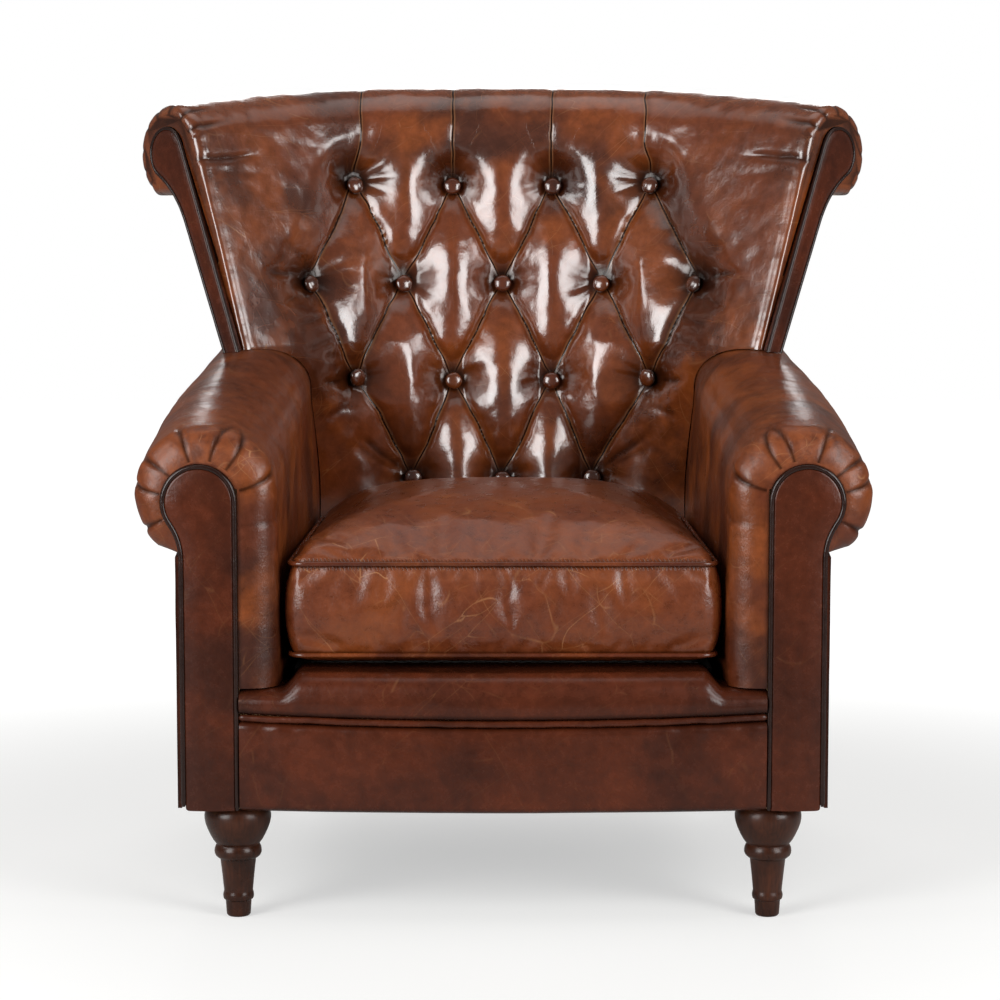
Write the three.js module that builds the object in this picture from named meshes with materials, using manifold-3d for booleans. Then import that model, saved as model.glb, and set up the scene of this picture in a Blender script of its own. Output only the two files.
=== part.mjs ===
// A leather club armchair with a buttoned back, forward-turned wings, scroll arms and a loose seat cushion.
// Lengths are in millimetres. The chair faces -Y, +Z is up and it stands on Z = 0.
import * as THREE from 'three';
import { mergeVertices } from 'three/addons/utils/BufferGeometryUtils.js';
import Module from 'manifold-3d';

const wasm = await Module();
wasm.setup();

// The play between pieces that meet, and how far a cutting shape runs past what it cuts.
const gap = 0.3;
const overrun = 60;

// Places that the whole chair is laid out from.
const frontPlane = -405; // the front of the arm facings
const seatWidth = 504; // between the arms

// Turned front legs, from the floor up, and square rear legs.
const frontLeg = {
  footDiameter: 28,
  footTopDiameter: 30,
  footHeight: 19,
  footRound: 3,
  ringDiameter: 35.5,
  ringHeight: 11,
  shaftLowDiameter: 33.5,
  shaftTopDiameter: 41.5,
  shaftHeight: 38,
  collarDiameter: 54.5,
  collarHeight: 17,
  bulbDiameter: 77,
  bulbHeight: 47,
  acrossCentres: 612,
  setBack: 45,
  sides: 24,
};
const collarProfileShares = [[0, 0.84], [0.3, 0.98], [0.55, 1], [0.85, 0.97], [1, 0.9]];
const bulbProfileShares = [
  [0, 0.66], [0.08, 0.7], [0.28, 0.86], [0.5, 0.97], [0.66, 1], [0.84, 0.96], [1, 0.86],
];
const rearLeg = { footWidth: 27, footRake: 22 };
const frameBottom = frontLeg.footHeight + frontLeg.ringHeight + frontLeg.shaftHeight
  + frontLeg.collarHeight + frontLeg.bulbHeight;

// The timber frame.
const rail = { thickness: 30, height: 121.7, sideHeight: 95 };
const armPost = { width: 54, depth: 40, headroom: 14 };
const backPost = { width: 33, depth: 29, top: 680 };
const armRail = { width: 58, height: 42, rise: 18 };
const topRail = { width: 44, rise: 20 };
const wingFrame = { thickness: 5 };
const wingFrameShares = [0.3, 0.97];
const wingSheet = { frontTuck: 40, rearRise: 40 };
const wingSheetColumns = 5;
const wingFrameColumn = 2;

// The outside of the back: a flat panel that leans, straight sides up to the arms, then tapering in.
const panel = { thickness: 5, lift: 2 };
const outsideBack = {
  foot: 300, // how far behind the origin its rear face stands at the frame's underside
  leanShare: 0.115,
  shoulderHeight: 535,
  wingHeight: 640,
  wingHalfWidth: 365,
  topHalfWidth: 240,
};

// Seat springs, deck, lip and the front rail's cover with its piping.
const spring = {
  wire: 4,
  wireSides: 4,
  loops: 12,
  count: 4,
  pitch: 112,
  loopWidth: 46,
  tieShares: [0.33, 0.67],
  endHold: 22,
};
const deck = { thickness: 36, inset: 10 };
const railCover = { height: 103, thickness: 12, bow: 17, sag: 5, edge: 5 };
const railWelt = { radius: 4, sides: 8 };
const lip = {
  height: 47,
  depth: 64,
  front: 3,
  sideDrop: 19.5,
  shoulder: 12,
  round: 17,
  roundDepth: 27.2,
  roundStartShare: 0.7,
};
const frontSteps = 18;
const dustCover = { thickness: 2, inset: 12 };

// Arms: an upright padded wall with a leather roll over it, rising to the back.
const arm = {
  wall: 47.5, // padding of the inside wall
  boxWidth: 66.5, // hollow that holds the frame
  rollRadius: 78,
  rollRearRadius: 60,
  taperStart: -230,
  taperEnd: 200,
  flat: 10, // how much further the roll reaches inwards than its radius
  rollHeight: 486,
  riseShare: 0.1763,
  wallFoot: 272,
  wallTopDrop: 22,
  swell: 8,
  frontRound: 22,
  rearRound: 8,
  facingProud: 5,
  notchRise: 26,
  neckDrop: 66,
};
const armRollEndDegrees = 228;
const armStations = 8;
const armArcSteps = 15;
const armWallSteps = 4;
const armRoundSteps = 3;
const armFacing = {
  headRadius: 43.5,
  headRise: -2,
  width: 66.5,
  thickness: 12,
  footRise: 0,
  corner: 9,
  welt: 3.5,
  underDegrees: 215,
  weltSteps: 44,
};

// How finely the scroll outlines of the facings are drawn, and the longest straight run of their piping.
const scrollArcSteps = 12;
const filletSteps = 4;
const cornerSteps = 3;
const weltSides = 6;
const weltRun = 14;

// The loose cushion: boxed sides between two pipings, a crowned top and a flat underside.
const cushion = {
  sideGap: 11.5, // to the inside of each arm
  rearTaper: 7,
  depth: 524,
  front: 33, // behind the arm facings
  frontCorner: 16,
  rearCorner: 45,
  boxing: 105,
  belly: 11, // the underside below the bottom piping
  crown: 65,
  sideSwell: 6,
  cover: 6,
  welt: 3.5,
  coreGap: 0.3,
  zipLength: 360,
  zipWidth: 30,
  aboveDeck: 0.6,
};
const cushionSidePoints = 8;
const cushionCornerSteps = 3;
const crownRingShares = [0.95, 0.86, 0.7, 0.48, 0.22];
const crownPower = 2.2;
const crownFullness = 0.7;
const bellyRingShares = [0.5, 0.94];
const boxingShares = [0, 0.25, 0.5, 0.75, 1];

// The inside back and wings: one padded skin that leans back, turns forward at the sides and rolls over.
const back = {
  faceAtArm: 222, // the padding's front at the centre line, level with the arm tops
  armLevel: 640,
  lowLevel: 420,
  leanShare: 0.181,
  endAtArm: 318,
  flareShare: 0.248,
  bend: 130,
  bendShare: 0.282,
  bendSoftness: 60,
  lowTurnShare: 0.08,
  turnShare: 1,
  rollTop: 986,
  rollRadius: 70,
  wingRollRadius: 64,
  rollLevel: 900,
  rollDropShare: 0.18,
  thickness: 60,
  wingThickness: 21,
  wingThicknessShare: 0.085,
  wingStartShare: 0.35,
  endRound: 15,
  endSoftness: 13,
};
const backRollEndDegrees = 238;
const backRearLevels = 6;
const backArcSteps = 6;
const backEndSteps = 2;
// Lines of the padding's mesh, counted in buttons across and rows down, so that folds follow the mesh.
const backColumnStep = 0.25;
const backEndColumn = 3;
const tuftEndColumn = 2.25;
const backRowLines = [3.5, 3, 2.5, 2, 1.5, 1, 0.5, 0, -0.25];

const wingFacing = {
  headRadius: 34.5,
  innerFoot: 145,
  outerFoot: 112,
  footDrop: 248,
  tail: 30,
  outerRunShare: 0.468,
  innerRunShare: 0.435,
  thickness: 10,
  proud: 5,
  corner: 3,
  welt: 3,
  underDegrees: 240,
  weltSteps: 40,
};

// Deep buttoning in a diamond pattern.
const tuft = {
  across: 132,
  down: 132.3,
  topRow: 854,
  fanShare: 0.02904,
  gatherShare: 0.056,
  arch: 1,
  buttonDepth: 34,
  valleyDepth: 12,
  dimple: 26,
  seamDepth: 4,
};
// Where the folds die out, and how sharp they are, as shares of the spacing across and down.
const tuftFadeShares = {
  sideEnd: 2.1,
  sideRun: 2,
  topStart: 0.15,
  topRun: 4,
  seamEnd: 1.9,
  seamRun: 3,
  valleySharpness: 1.25,
  seamSharpness: 2,
};
const tuftRows = [[-1.5, -0.5, 0.5, 1.5], [-2, -1, 0, 1, 2], [-1.5, -0.5, 0.5, 1.5], [-1, 0, 1]];
const button = { diameter: 23, height: 8, sides: 9, seat: 9.4 };
// How much deeper than that the buttons settle, from the middle of each row outwards.
const buttonSettling = [[1, -0.6], [0, -0.1, -0.5], [0, 0.8], [0, -0.5]];
const buttonProfileShares = [[0, 0], [0.85, 0], [1, 0.3], [0.75, 0.8], [0, 1]];

// Colours and finishes, from the photograph.
const finishes = {
  backLeather: { color: 0x6d3822, roughness: 0.32 },
  cushionLeather: { color: 0x8a4b28, roughness: 0.36 },
  armLeather: { color: 0x6f3a24, roughness: 0.36 },
  panelLeather: { color: 0x552b18, roughness: 0.4 },
  pipingLeather: { color: 0x2a120c, roughness: 0.4 },
  buttonLeather: { color: 0x5a2e1f, roughness: 0.3 },
  legWood: { color: 0x3c2115, roughness: 0.4 },
  frameWood: { color: 0xc9a577, roughness: 0.8 },
  springSteel: { color: 0x8d8f92, roughness: 0.35, metalness: 1 },
  foam: { color: 0xe6dcc0, roughness: 0.95 },
  blackCloth: { color: 0x1c1b1a, roughness: 0.95 },
  zipTape: { color: 0x33211a, roughness: 0.8 },
};

// Worked out once from the values above.
const armInner = seatWidth / 2;
const armHollowInner = armInner + arm.wall;
const armHollowOuter = armHollowInner + arm.boxWidth;
const railTop = frameBottom + rail.height;
const springTop = railTop + gap + spring.wire;
const deckTop = springTop + gap + deck.thickness;
const postFront = frontPlane + armFacing.thickness + gap;
const railFront = postFront;
const railBack = railFront + rail.thickness;
const coverHalfWidth = armHollowInner - gap;
const armPostHeight = arm.rollHeight + arm.notchRise - armPost.headroom - frameBottom;
const cushionWidth = seatWidth - 2 * cushion.sideGap;
const weltHeight = frameBottom + railCover.height + gap + railWelt.radius;
const lipBottom = weltHeight + railWelt.radius + gap;

const mix = (a, b, share) => a + (b - a) * share;
const clamp = (share) => Math.min(1, Math.max(0, share));
const smooth = (share) => clamp(share) ** 2 * (3 - 2 * clamp(share));
const hinge = (distance, softness) => (distance + Math.hypot(distance, softness)) / 2;
const radians = THREE.MathUtils.degToRad;

// The rear face of the outside back panel, and the front face that pieces inside stop at.
function outsideBackRear(z) {
  return outsideBack.foot + (z - frameBottom) * outsideBack.leanShare;
}

function outsideBackFront(z) {
  return outsideBackRear(z) - panel.thickness;
}

// Solids, joins and cuts.
function toSolid(geometry) {
  const bare = geometry.clone();
  bare.deleteAttribute('normal');
  bare.deleteAttribute('uv');
  const merged = mergeVertices(bare);
  const mesh = new wasm.Mesh({
    numProp: 3,
    vertProperties: new Float32Array(merged.attributes.position.array),
    triVerts: new Uint32Array(merged.index.array),
  });
  return new wasm.Manifold(mesh);
}

function toGeometry(solid) {
  const mesh = solid.getMesh();
  const geometry = new THREE.BufferGeometry();
  geometry.setAttribute('position', new THREE.BufferAttribute(new Float32Array(mesh.vertProperties), 3));
  geometry.setIndex(new THREE.BufferAttribute(new Uint32Array(mesh.triVerts), 1));
  geometry.computeVertexNormals();
  return geometry;
}

function cut(geometry, ...tools) {
  let solid = toSolid(geometry);
  for (const tool of tools) {
    solid = solid.subtract(toSolid(tool));
  }
  return toGeometry(solid);
}

function join(...geometries) {
  let solid = toSolid(geometries[0]);
  for (const other of geometries.slice(1)) {
    solid = solid.add(toSolid(other));
  }
  return toGeometry(solid);
}

function outlineArea(points) {
  return points.reduce((sum, point, i) => {
    const next = points[(i + 1) % points.length];
    return sum + point.x * next.y - next.x * point.y;
  }, 0) / 2;
}

// The triangles of a flat outline. A point in the middle of a straight run may be left out, so it is put
// back by splitting the triangle that spans it.
function lidFaces(flat, first) {
  const faces = THREE.ShapeUtils.triangulateShape([...flat], []);
  const used = (index) => faces.some((face) => face.includes(index));
  flat.forEach((_, index) => {
    if (used(index)) {
      return;
    }
    const before = (index + flat.length - 1) % flat.length;
    let after = (index + 1) % flat.length;
    while (!used(after)) {
      after = (after + 1) % flat.length;
    }
    const spanning = faces.findIndex((face) => face.includes(before) && face.includes(after));
    const face = faces[spanning];
    const halves = [before, after].map((end) => face.map((corner) => (corner === end ? index : corner)));
    faces.splice(spanning, 1, ...halves);
  });
  const facesArea = faces.reduce((sum, face) => sum + outlineArea(face.map((index) => flat[index])), 0);
  const turned = Math.sign(facesArea) !== Math.sign(outlineArea(flat));
  return faces.map((face) => {
    const [a, b, c] = face.map((index) => first + index);
    return turned ? [a, c, b] : [a, b, c];
  });
}

function meshVolume(points, faces) {
  return faces.reduce((sum, [a, b, c]) => sum + points[a].dot(points[b].clone().cross(points[c])), 0) / 6;
}

function stripFaces(count, first) {
  return Array.from({ length: count / 2 - 1 }, (_, i) => {
    const [a, b, c, d] = [i, i + 1, count - 2 - i, count - 1 - i].map((index) => first + index);
    return [[a, b, c], [a, c, d]];
  }).flat();
}

// A closed body through a row of rings with equally many points. Each end is closed by a lid that is
// triangulated in the flat outline given for it. A thin sheet has strips for lids instead, and its two
// faces are split the same way. Elsewhere, turned says which of the four-sided faces are split crosswise.
function loft(rings, startFlat, endFlat, { thin = false, turned = () => false } = {}) {
  const count = rings[0].length;
  const points = rings.flat();
  const faces = [];
  for (let i = 0; i + 1 < rings.length; i += 1) {
    for (let j = 0; j < count; j += 1) {
      const low = i * count + j;
      const lowNext = i * count + ((j + 1) % count);
      if (thin ? j >= count / 2 : turned(i, j)) {
        faces.push([low, lowNext, low + count], [lowNext, lowNext + count, low + count]);
      } else {
        faces.push([low, lowNext, lowNext + count], [low, lowNext + count, low + count]);
      }
    }
  }
  const lid = (flat, first) => (thin ? stripFaces(count, first) : lidFaces(flat, first));
  faces.push(...lid(startFlat, 0).map(([a, b, c]) => [a, c, b]));
  faces.push(...lid(endFlat, points.length - count));
  const outward = meshVolume(points, faces) > 0;
  const geometry = new THREE.BufferGeometry().setFromPoints(points);
  geometry.setIndex(faces.flatMap(([a, b, c]) => (outward ? [a, b, c] : [a, c, b])));
  geometry.computeVertexNormals();
  return geometry;
}

function mirrored(geometry) {
  const copy = geometry.clone();
  copy.scale(-1, 1, 1);
  const index = [...copy.index.array];
  for (let i = 0; i < index.length; i += 3) {
    [index[i], index[i + 1]] = [index[i + 1], index[i]];
  }
  copy.setIndex(index);
  copy.computeVertexNormals();
  return copy;
}

function forSide(geometry, side) {
  return side > 0 ? geometry : mirrored(geometry);
}

function box(width, depth, height) {
  return new THREE.BoxGeometry(width, depth, height);
}

function extrudeOutline(outline, from, to) {
  const shape = new THREE.Shape(outline);
  const geometry = new THREE.ExtrudeGeometry(shape, { depth: to - from, bevelEnabled: false });
  geometry.translate(0, 0, from);
  return geometry;
}

function tubeAlong(points, radius, sides, steps) {
  const section = new THREE.Shape();
  for (let i = 0; i < sides; i += 1) {
    const angle = (i / sides) * 2 * Math.PI;
    const x = radius * Math.cos(angle);
    const y = radius * Math.sin(angle);
    if (i === 0) {
      section.moveTo(x, y);
    } else {
      section.lineTo(x, y);
    }
  }
  const extrudePath = new THREE.CatmullRomCurve3(points);
  return new THREE.ExtrudeGeometry(section, { steps, bevelEnabled: false, extrudePath });
}

function part(name, geometry, finish) {
  const material = new THREE.MeshStandardMaterial({ metalness: 0, ...finishes[finish] });
  const mesh = new THREE.Mesh(geometry, material);
  mesh.name = name;
  return mesh;
}

const sideNames = [['left', -1], ['right', 1]];

// Legs.
function turnedLegGeometry() {
  const leg = frontLeg;
  const points = [
    [0, 0],
    [leg.footDiameter / 2 - leg.footRound, 0],
    [leg.footDiameter / 2, leg.footRound],
    [leg.footTopDiameter / 2, leg.footHeight],
    [leg.ringDiameter / 2, leg.footHeight + leg.ringHeight / 3],
    [leg.ringDiameter / 2, leg.footHeight + (2 * leg.ringHeight) / 3],
    [leg.shaftLowDiameter / 2, leg.footHeight + leg.ringHeight],
  ];
  const shaftTop = leg.footHeight + leg.ringHeight + leg.shaftHeight;
  points.push([leg.shaftTopDiameter / 2, shaftTop]);
  for (const [rise, radius] of collarProfileShares) {
    points.push([(radius * leg.collarDiameter) / 2, shaftTop + rise * leg.collarHeight]);
  }
  for (const [rise, radius] of bulbProfileShares) {
    points.push([(radius * leg.bulbDiameter) / 2, shaftTop + leg.collarHeight + rise * leg.bulbHeight]);
  }
  points.push([0, frameBottom]);
  const profile = points.map(([radius, height]) => new THREE.Vector2(radius, height));
  const geometry = new THREE.LatheGeometry(profile, leg.sides);
  geometry.rotateX(Math.PI / 2);
  return geometry;
}

function rectangleRing(x, y, z, width, depth) {
  return [
    new THREE.Vector3(x - width / 2, y - depth / 2, z),
    new THREE.Vector3(x + width / 2, y - depth / 2, z),
    new THREE.Vector3(x + width / 2, y + depth / 2, z),
    new THREE.Vector3(x - width / 2, y + depth / 2, z),
  ];
}

function flatten(ring) {
  return ring.map((point) => new THREE.Vector2(point.x, point.y));
}

function standingLoft(rings, options) {
  return loft(rings, flatten(rings[0]), flatten(rings[rings.length - 1]), options);
}

const backPostX = armHollowInner + gap + backPost.width / 2;

function backPostY(z) {
  return outsideBackFront(z) - gap - backPost.depth / 2;
}

function rearLegGeometry() {
  const foot = rectangleRing(0, rearLeg.footRake, 0, rearLeg.footWidth, rearLeg.footWidth);
  const top = rectangleRing(0, 0, frameBottom, backPost.width, backPost.depth);
  return standingLoft([foot, top]);
}

function legs() {
  const group = new THREE.Group();
  for (const [name, side] of sideNames) {
    const front = part(`front_leg_${name}`, turnedLegGeometry(), 'legWood');
    front.position.set((side * frontLeg.acrossCentres) / 2, frontPlane + frontLeg.setBack, 0);
    const rear = part(`rear_leg_${name}`, rearLegGeometry(), 'legWood');
    rear.position.set(side * backPostX, backPostY(frameBottom), 0);
    group.add(front, rear);
  }
  return group;
}

// Seat frame, with the posts that carry the arms and the back.
function seatFrame() {
  const group = new THREE.Group();
  const frontLength = 2 * (armHollowInner + gap);
  const front = part('front_seat_rail', box(frontLength, rail.thickness, rail.height), 'frameWood');
  front.position.set(0, railFront + rail.thickness / 2, frameBottom + rail.height / 2);
  const rearY = backPostY(frameBottom);
  const rear = part('rear_seat_rail', box(frontLength, backPost.depth, rail.height), 'frameWood');
  rear.position.set(0, rearY, frameBottom + rail.height / 2);
  group.add(front, rear);
  const sideStart = postFront + armPost.depth + gap;
  const sideEnd = rearY + backPost.depth / 2;
  for (const [name, side] of sideNames) {
    const length = sideEnd - sideStart;
    const rib = part(`${name}_seat_rail`, box(rail.thickness, length, rail.sideHeight), 'frameWood');
    const x = armHollowOuter - gap - rail.thickness / 2;
    rib.position.set(side * x, sideStart + length / 2, frameBottom + rail.sideHeight / 2);
    const post = part(`arm_post_${name}`, box(armPost.width, armPost.depth, armPostHeight), 'frameWood');
    const postX = armHollowInner + 2 * gap + armPost.width / 2;
    post.position.set(side * postX, postFront + armPost.depth / 2, frameBottom + armPostHeight / 2);
    group.add(rib, post);
  }
  return group;
}

function backPostGeometry(grow) {
  const rings = [frameBottom - grow, backPost.top + grow].map((z) => rectangleRing(
    backPostX,
    backPostY(z),
    z,
    backPost.width + 2 * grow,
    backPost.depth + 2 * grow,
  ));
  return standingLoft(rings);
}

// Zigzag springs from the front rail to the rear rail, tied to each other by two cross wires.
function springWire(points) {
  return tubeAlong(points, spring.wire / 2, spring.wireSides, points.length);
}

function springUnitGeometry() {
  const start = railFront + spring.endHold;
  const end = backPostY(frameBottom) + backPost.depth / 2 - spring.endHold / 2;
  const z = railTop + gap + spring.wire / 2;
  const wires = [];
  const xs = [];
  for (let i = 0; i < spring.count; i += 1) {
    xs.push((i - (spring.count - 1) / 2) * spring.pitch);
  }
  for (const x of xs) {
    const points = [];
    for (let j = 0; j <= spring.loops * 2; j += 1) {
      const swing = j % 2 === 0 ? -spring.loopWidth / 2 : spring.loopWidth / 2;
      const y = mix(start, end, j / (spring.loops * 2));
      points.push(new THREE.Vector3(x + swing, y, z));
    }
    wires.push(springWire(points));
  }
  const reach = xs[xs.length - 1] + spring.loopWidth / 2;
  for (const share of spring.tieShares) {
    const y = mix(start, end, share);
    const tie = box(2 * reach, spring.wire, spring.wire);
    tie.translate(0, y, z);
    wires.push(tie);
  }
  return join(...wires);
}

// The front: rail cover, piping and lip, all bowed forward and sagging a little at the middle.
function frontBow(x) {
  return railCover.bow * (1 - (x / coverHalfWidth) ** 2);
}

function frontSag(x) {
  return railCover.sag * (1 - (x / coverHalfWidth) ** 2);
}

function evenStations(halfWidth, steps) {
  return Array.from({ length: steps + 1 }, (_, i) => mix(-halfWidth, halfWidth, i / steps));
}

function acrossLoft(stations, section) {
  const rings = stations.map((x) => section(x).map(([y, z]) => new THREE.Vector3(x, y, z)));
  const flats = rings.map((ring) => ring.map((point) => new THREE.Vector2(point.y, point.z)));
  return loft(rings, flats[0], flats[flats.length - 1]);
}

function railCoverGeometry() {
  return acrossLoft(evenStations(coverHalfWidth, frontSteps), (x) => {
    const rear = railFront - gap;
    const front = rear - railCover.thickness - frontBow(x) + gap;
    const top = frameBottom + railCover.height - frontSag(x);
    const edge = railCover.edge;
    return [
      [rear, frameBottom],
      [front + edge, frameBottom],
      [front, frameBottom + edge],
      [front, top - edge],
      [front + edge, top],
      [rear, top],
    ];
  });
}

function railWeltGeometry() {
  const points = evenStations(coverHalfWidth, frontSteps).map((x) => {
    const y = railFront - railCover.thickness - frontBow(x) + railWelt.radius;
    return new THREE.Vector3(x, y, weltHeight - frontSag(x));
  });
  return tubeAlong(points, railWelt.radius, railWelt.sides, frontSteps);
}

function lipGeometry() {
  const rear = railFront + lip.depth;
  const bend = armInner - lip.shoulder;
  const steps = evenStations(bend - lip.shoulder, frontSteps);
  const ends = [bend, armInner - gap, coverHalfWidth];
  return acrossLoft([...ends.map((x) => -x).reverse(), ...steps, ...ends], (x) => {
    const outward = (Math.abs(x) - bend) / (armInner - gap - bend);
    const top = lipBottom + lip.height - lip.sideDrop * smooth(outward);
    const front = railFront - railCover.thickness - lip.front - frontBow(x);
    const bottom = lipBottom - frontSag(x);
    const middle = (bottom + top) / 2;
    return [
      [railFront - gap, bottom],
      [front + lip.front * 2, bottom],
      [front, (bottom + middle) / 2],
      [front, middle],
      [front + lip.round / 2, mix(middle, top, lip.roundStartShare)],
      [front + lip.roundDepth, top - lip.front],
      [railFront + lip.round, top],
      [rear, top],
      [rear, springTop + gap],
      [railFront - gap, springTop + gap],
    ];
  });
}

function seatBase() {
  const group = new THREE.Group();
  const lipBack = railFront + lip.depth + gap;
  const deckBack = backPostY(frameBottom) - backPost.depth / 2 - gap;
  const deckGeometry = box(2 * (armInner - deck.inset), deckBack - lipBack, deck.thickness);
  const deckPart = part('seat_deck', deckGeometry, 'blackCloth');
  deckPart.position.set(0, (lipBack + deckBack) / 2, deckTop - deck.thickness / 2);
  group.add(
    part('seat_spring_unit', springUnitGeometry(), 'springSteel'),
    deckPart,
    part('front_rail_cover', railCoverGeometry(), 'panelLeather'),
    part('front_rail_welt', railWeltGeometry(), 'panelLeather'),
    part('seat_lip', lipGeometry(), 'panelLeather'),
    part('dust_cover', dustCoverGeometry(), 'blackCloth'),
  );
  return group;
}

function dustCoverGeometry() {
  const halfWidth = armHollowOuter - dustCover.inset;
  const start = railFront + dustCover.inset;
  const end = outsideBackFront(frameBottom) - dustCover.inset;
  const sheet = box(2 * halfWidth, end - start, dustCover.thickness);
  sheet.translate(0, (start + end) / 2, frameBottom - dustCover.thickness / 2);
  const holes = sideNames.flatMap(([, side]) => {
    const legHole = frontLeg.bulbDiameter / 2 + gap;
    const round = new THREE.CylinderGeometry(legHole, legHole, overrun, frontLeg.sides);
    round.rotateX(Math.PI / 2);
    round.translate((side * frontLeg.acrossCentres) / 2, frontPlane + frontLeg.setBack, frameBottom);
    const square = box(backPost.width + rearLeg.footWidth, backPost.depth + rearLeg.footRake, overrun);
    square.translate(side * backPostX, backPostY(frameBottom), frameBottom);
    return [round, square];
  });
  return cut(sheet, ...holes);
}

// A scroll outline, narrow below and round on top, in a plane with x outwards and y up from the head's
// centre.
function scrollOutline(spec, inset) {
  const radius = spec.headRadius - inset;
  const foot = spec.footLevel;
  const outerInset = inset * Math.hypot(1, spec.outerRun);
  const outerAt = (level) => spec.outerFoot + (level - spec.footLevel) * spec.outerRun - outerInset;
  const innerFoot = spec.innerFoot + inset * Math.hypot(1, spec.innerRun);
  const reach = Math.hypot(innerFoot, foot);
  const from = Math.atan2(foot, -innerFoot) + Math.acos(Math.min(1, radius / reach));
  const to = radians(spec.underDegrees);
  const onHead = (angle) => new THREE.Vector2(-radius * Math.cos(angle), radius * Math.sin(angle));
  const points = [new THREE.Vector2(innerFoot, foot)];
  for (let i = 0; i <= scrollArcSteps; i += 1) {
    points.push(onHead(mix(from, to, i / scrollArcSteps)));
  }
  const end = onHead(to);
  const run = new THREE.Vector2(Math.sin(to), Math.cos(to));
  const along = (outerAt(end.y) - end.x) / (run.x - run.y * spec.outerRun);
  const knee = end.clone().addScaledVector(run, along);
  const down = new THREE.Vector2(-spec.outerRun, -1).normalize();
  const leave = knee.clone().addScaledVector(down, along);
  const fillet = new THREE.QuadraticBezierCurve(end, knee, leave);
  points.push(...fillet.getPoints(filletSteps).slice(1));
  const heel = new THREE.Vector2(outerAt(foot), foot);
  const corner = Math.max(spec.corner - inset / 2, gap);
  const aboveHeel = new THREE.Vector2(outerAt(foot + corner), foot + corner);
  const inHeel = new THREE.Vector2(heel.x - corner, foot);
  points.push(...new THREE.QuadraticBezierCurve(aboveHeel, heel, inHeel).getPoints(cornerSteps));
  return points;
}

// The piping follows the outline from its inner foot over the head and stops above the outer corner.
function scrollWeltLine(spec, radius) {
  return scrollOutline(spec, radius).slice(0, -cornerSteps);
}

// Arms, made for the right side (+X) and mirrored.
function armRollRadius(y) {
  const share = (y - arm.taperStart) / (arm.taperEnd - arm.taperStart);
  return mix(arm.rollRadius, arm.rollRearRadius, smooth(share));
}

function armRollX(y) {
  return armInner + arm.flat + armRollRadius(y);
}

// The roll's top rises evenly, so its centre rises a little more where the roll gets thinner.
function armRollZ(y) {
  return arm.rollHeight + (y - frontPlane) * arm.riseShare + arm.rollRadius - armRollRadius(y);
}

function armNeckZ(y) {
  return armRollZ(y) - (arm.neckDrop * armRollRadius(y)) / arm.rollRadius;
}

function armRearY(z) {
  return outsideBackFront(z) - gap;
}

const armFacingSpec = {
  headRadius: armFacing.headRadius,
  footLevel: frameBottom + armFacing.footRise - arm.rollHeight - armFacing.headRise,
  innerFoot: -armFacing.headRadius,
  outerFoot: armFacing.width - armFacing.headRadius,
  outerRun: 0,
  innerRun: 0,
  underDegrees: armFacing.underDegrees,
  corner: armFacing.corner,
};

// From the facing's plane (x outwards, y up, z forward) to the chair.
function armFacingPlace() {
  const x = armHollowInner + armFacing.headRadius;
  return new THREE.Matrix4()
    .makeRotationX(Math.PI / 2)
    .setPosition(x, frontPlane + armFacing.thickness, arm.rollHeight + armFacing.headRise);
}

function armOutline(y, inset, solid) {
  const centre = armRollZ(y);
  const foot = arm.wallFoot - centre;
  const along = smooth((y - frontPlane) / (armRearY(arm.wallFoot) - frontPlane));
  const points = [];
  const full = armRollRadius(y);
  for (let i = 0; i < armWallSteps; i += 1) {
    const share = i / armWallSteps;
    const swell = arm.swell * along * Math.sin(Math.PI * share);
    points.push([-(full + arm.flat + swell - inset), mix(foot, -arm.wallTopDrop, share)]);
  }
  const panelFace = armHollowOuter + panel.thickness + gap - armRollX(y);
  const under = Math.PI + Math.acos(Math.min(1, panelFace / (full - inset)));
  for (let i = 0; i <= armArcSteps; i += 1) {
    const angle = mix(0, Math.min(radians(armRollEndDegrees), under), i / armArcSteps);
    const radius = full + arm.flat * Math.max(0, Math.cos(angle)) ** 2 - inset;
    points.push([-radius * Math.cos(angle), radius * Math.sin(angle)]);
  }
  const outer = armHollowOuter - armRollX(y) + (solid ? 0 : gap);
  const inner = armHollowInner - armRollX(y);
  points.push([outer, armNeckZ(y) - centre + inset / 2]);
  if (solid) {
    points.push([outer, foot]);
  } else {
    points.push([outer, arm.notchRise], [inner, arm.notchRise], [inner, foot]);
  }
  return points.map(([x, z]) => new THREE.Vector2(x, z));
}

// Stations run from the rounded front to the rear, which leans with the outside back.
function armGeometry(grow, solid) {
  const stations = [];
  const front = frontPlane + arm.facingProud;
  const rear = armRearY(arm.wallFoot);
  for (let i = 0; i <= armRoundSteps; i += 1) {
    const angle = (i / armRoundSteps) * (Math.PI / 2);
    stations.push([front + arm.frontRound * (1 - Math.cos(angle)), arm.frontRound * (1 - Math.sin(angle))]);
  }
  const straightStart = front + arm.frontRound;
  for (let i = 1; i < armStations; i += 1) {
    stations.push([mix(straightStart, rear - arm.rearRound, i / armStations), 0]);
  }
  for (let i = armRoundSteps; i >= 0; i -= 1) {
    const angle = (i / armRoundSteps) * (Math.PI / 2);
    stations.push([rear - arm.rearRound * (1 - Math.cos(angle)), arm.rearRound * (1 - Math.sin(angle))]);
  }
  const rings = stations.map(([y, inset]) => {
    const along = smooth((y - straightStart) / (rear - arm.rearRound - straightStart));
    const lean = along * outsideBack.leanShare;
    return armOutline(y, inset - grow, solid).map((point) => {
      const z = armRollZ(y) + point.y;
      return new THREE.Vector3(armRollX(y) + point.x, y + lean * (z - arm.wallFoot), z);
    });
  });
  const first = armOutline(stations[0][0], stations[0][1] - grow, solid);
  const last = armOutline(rear, arm.rearRound - grow, solid);
  return loft(rings, first, last);
}

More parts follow.
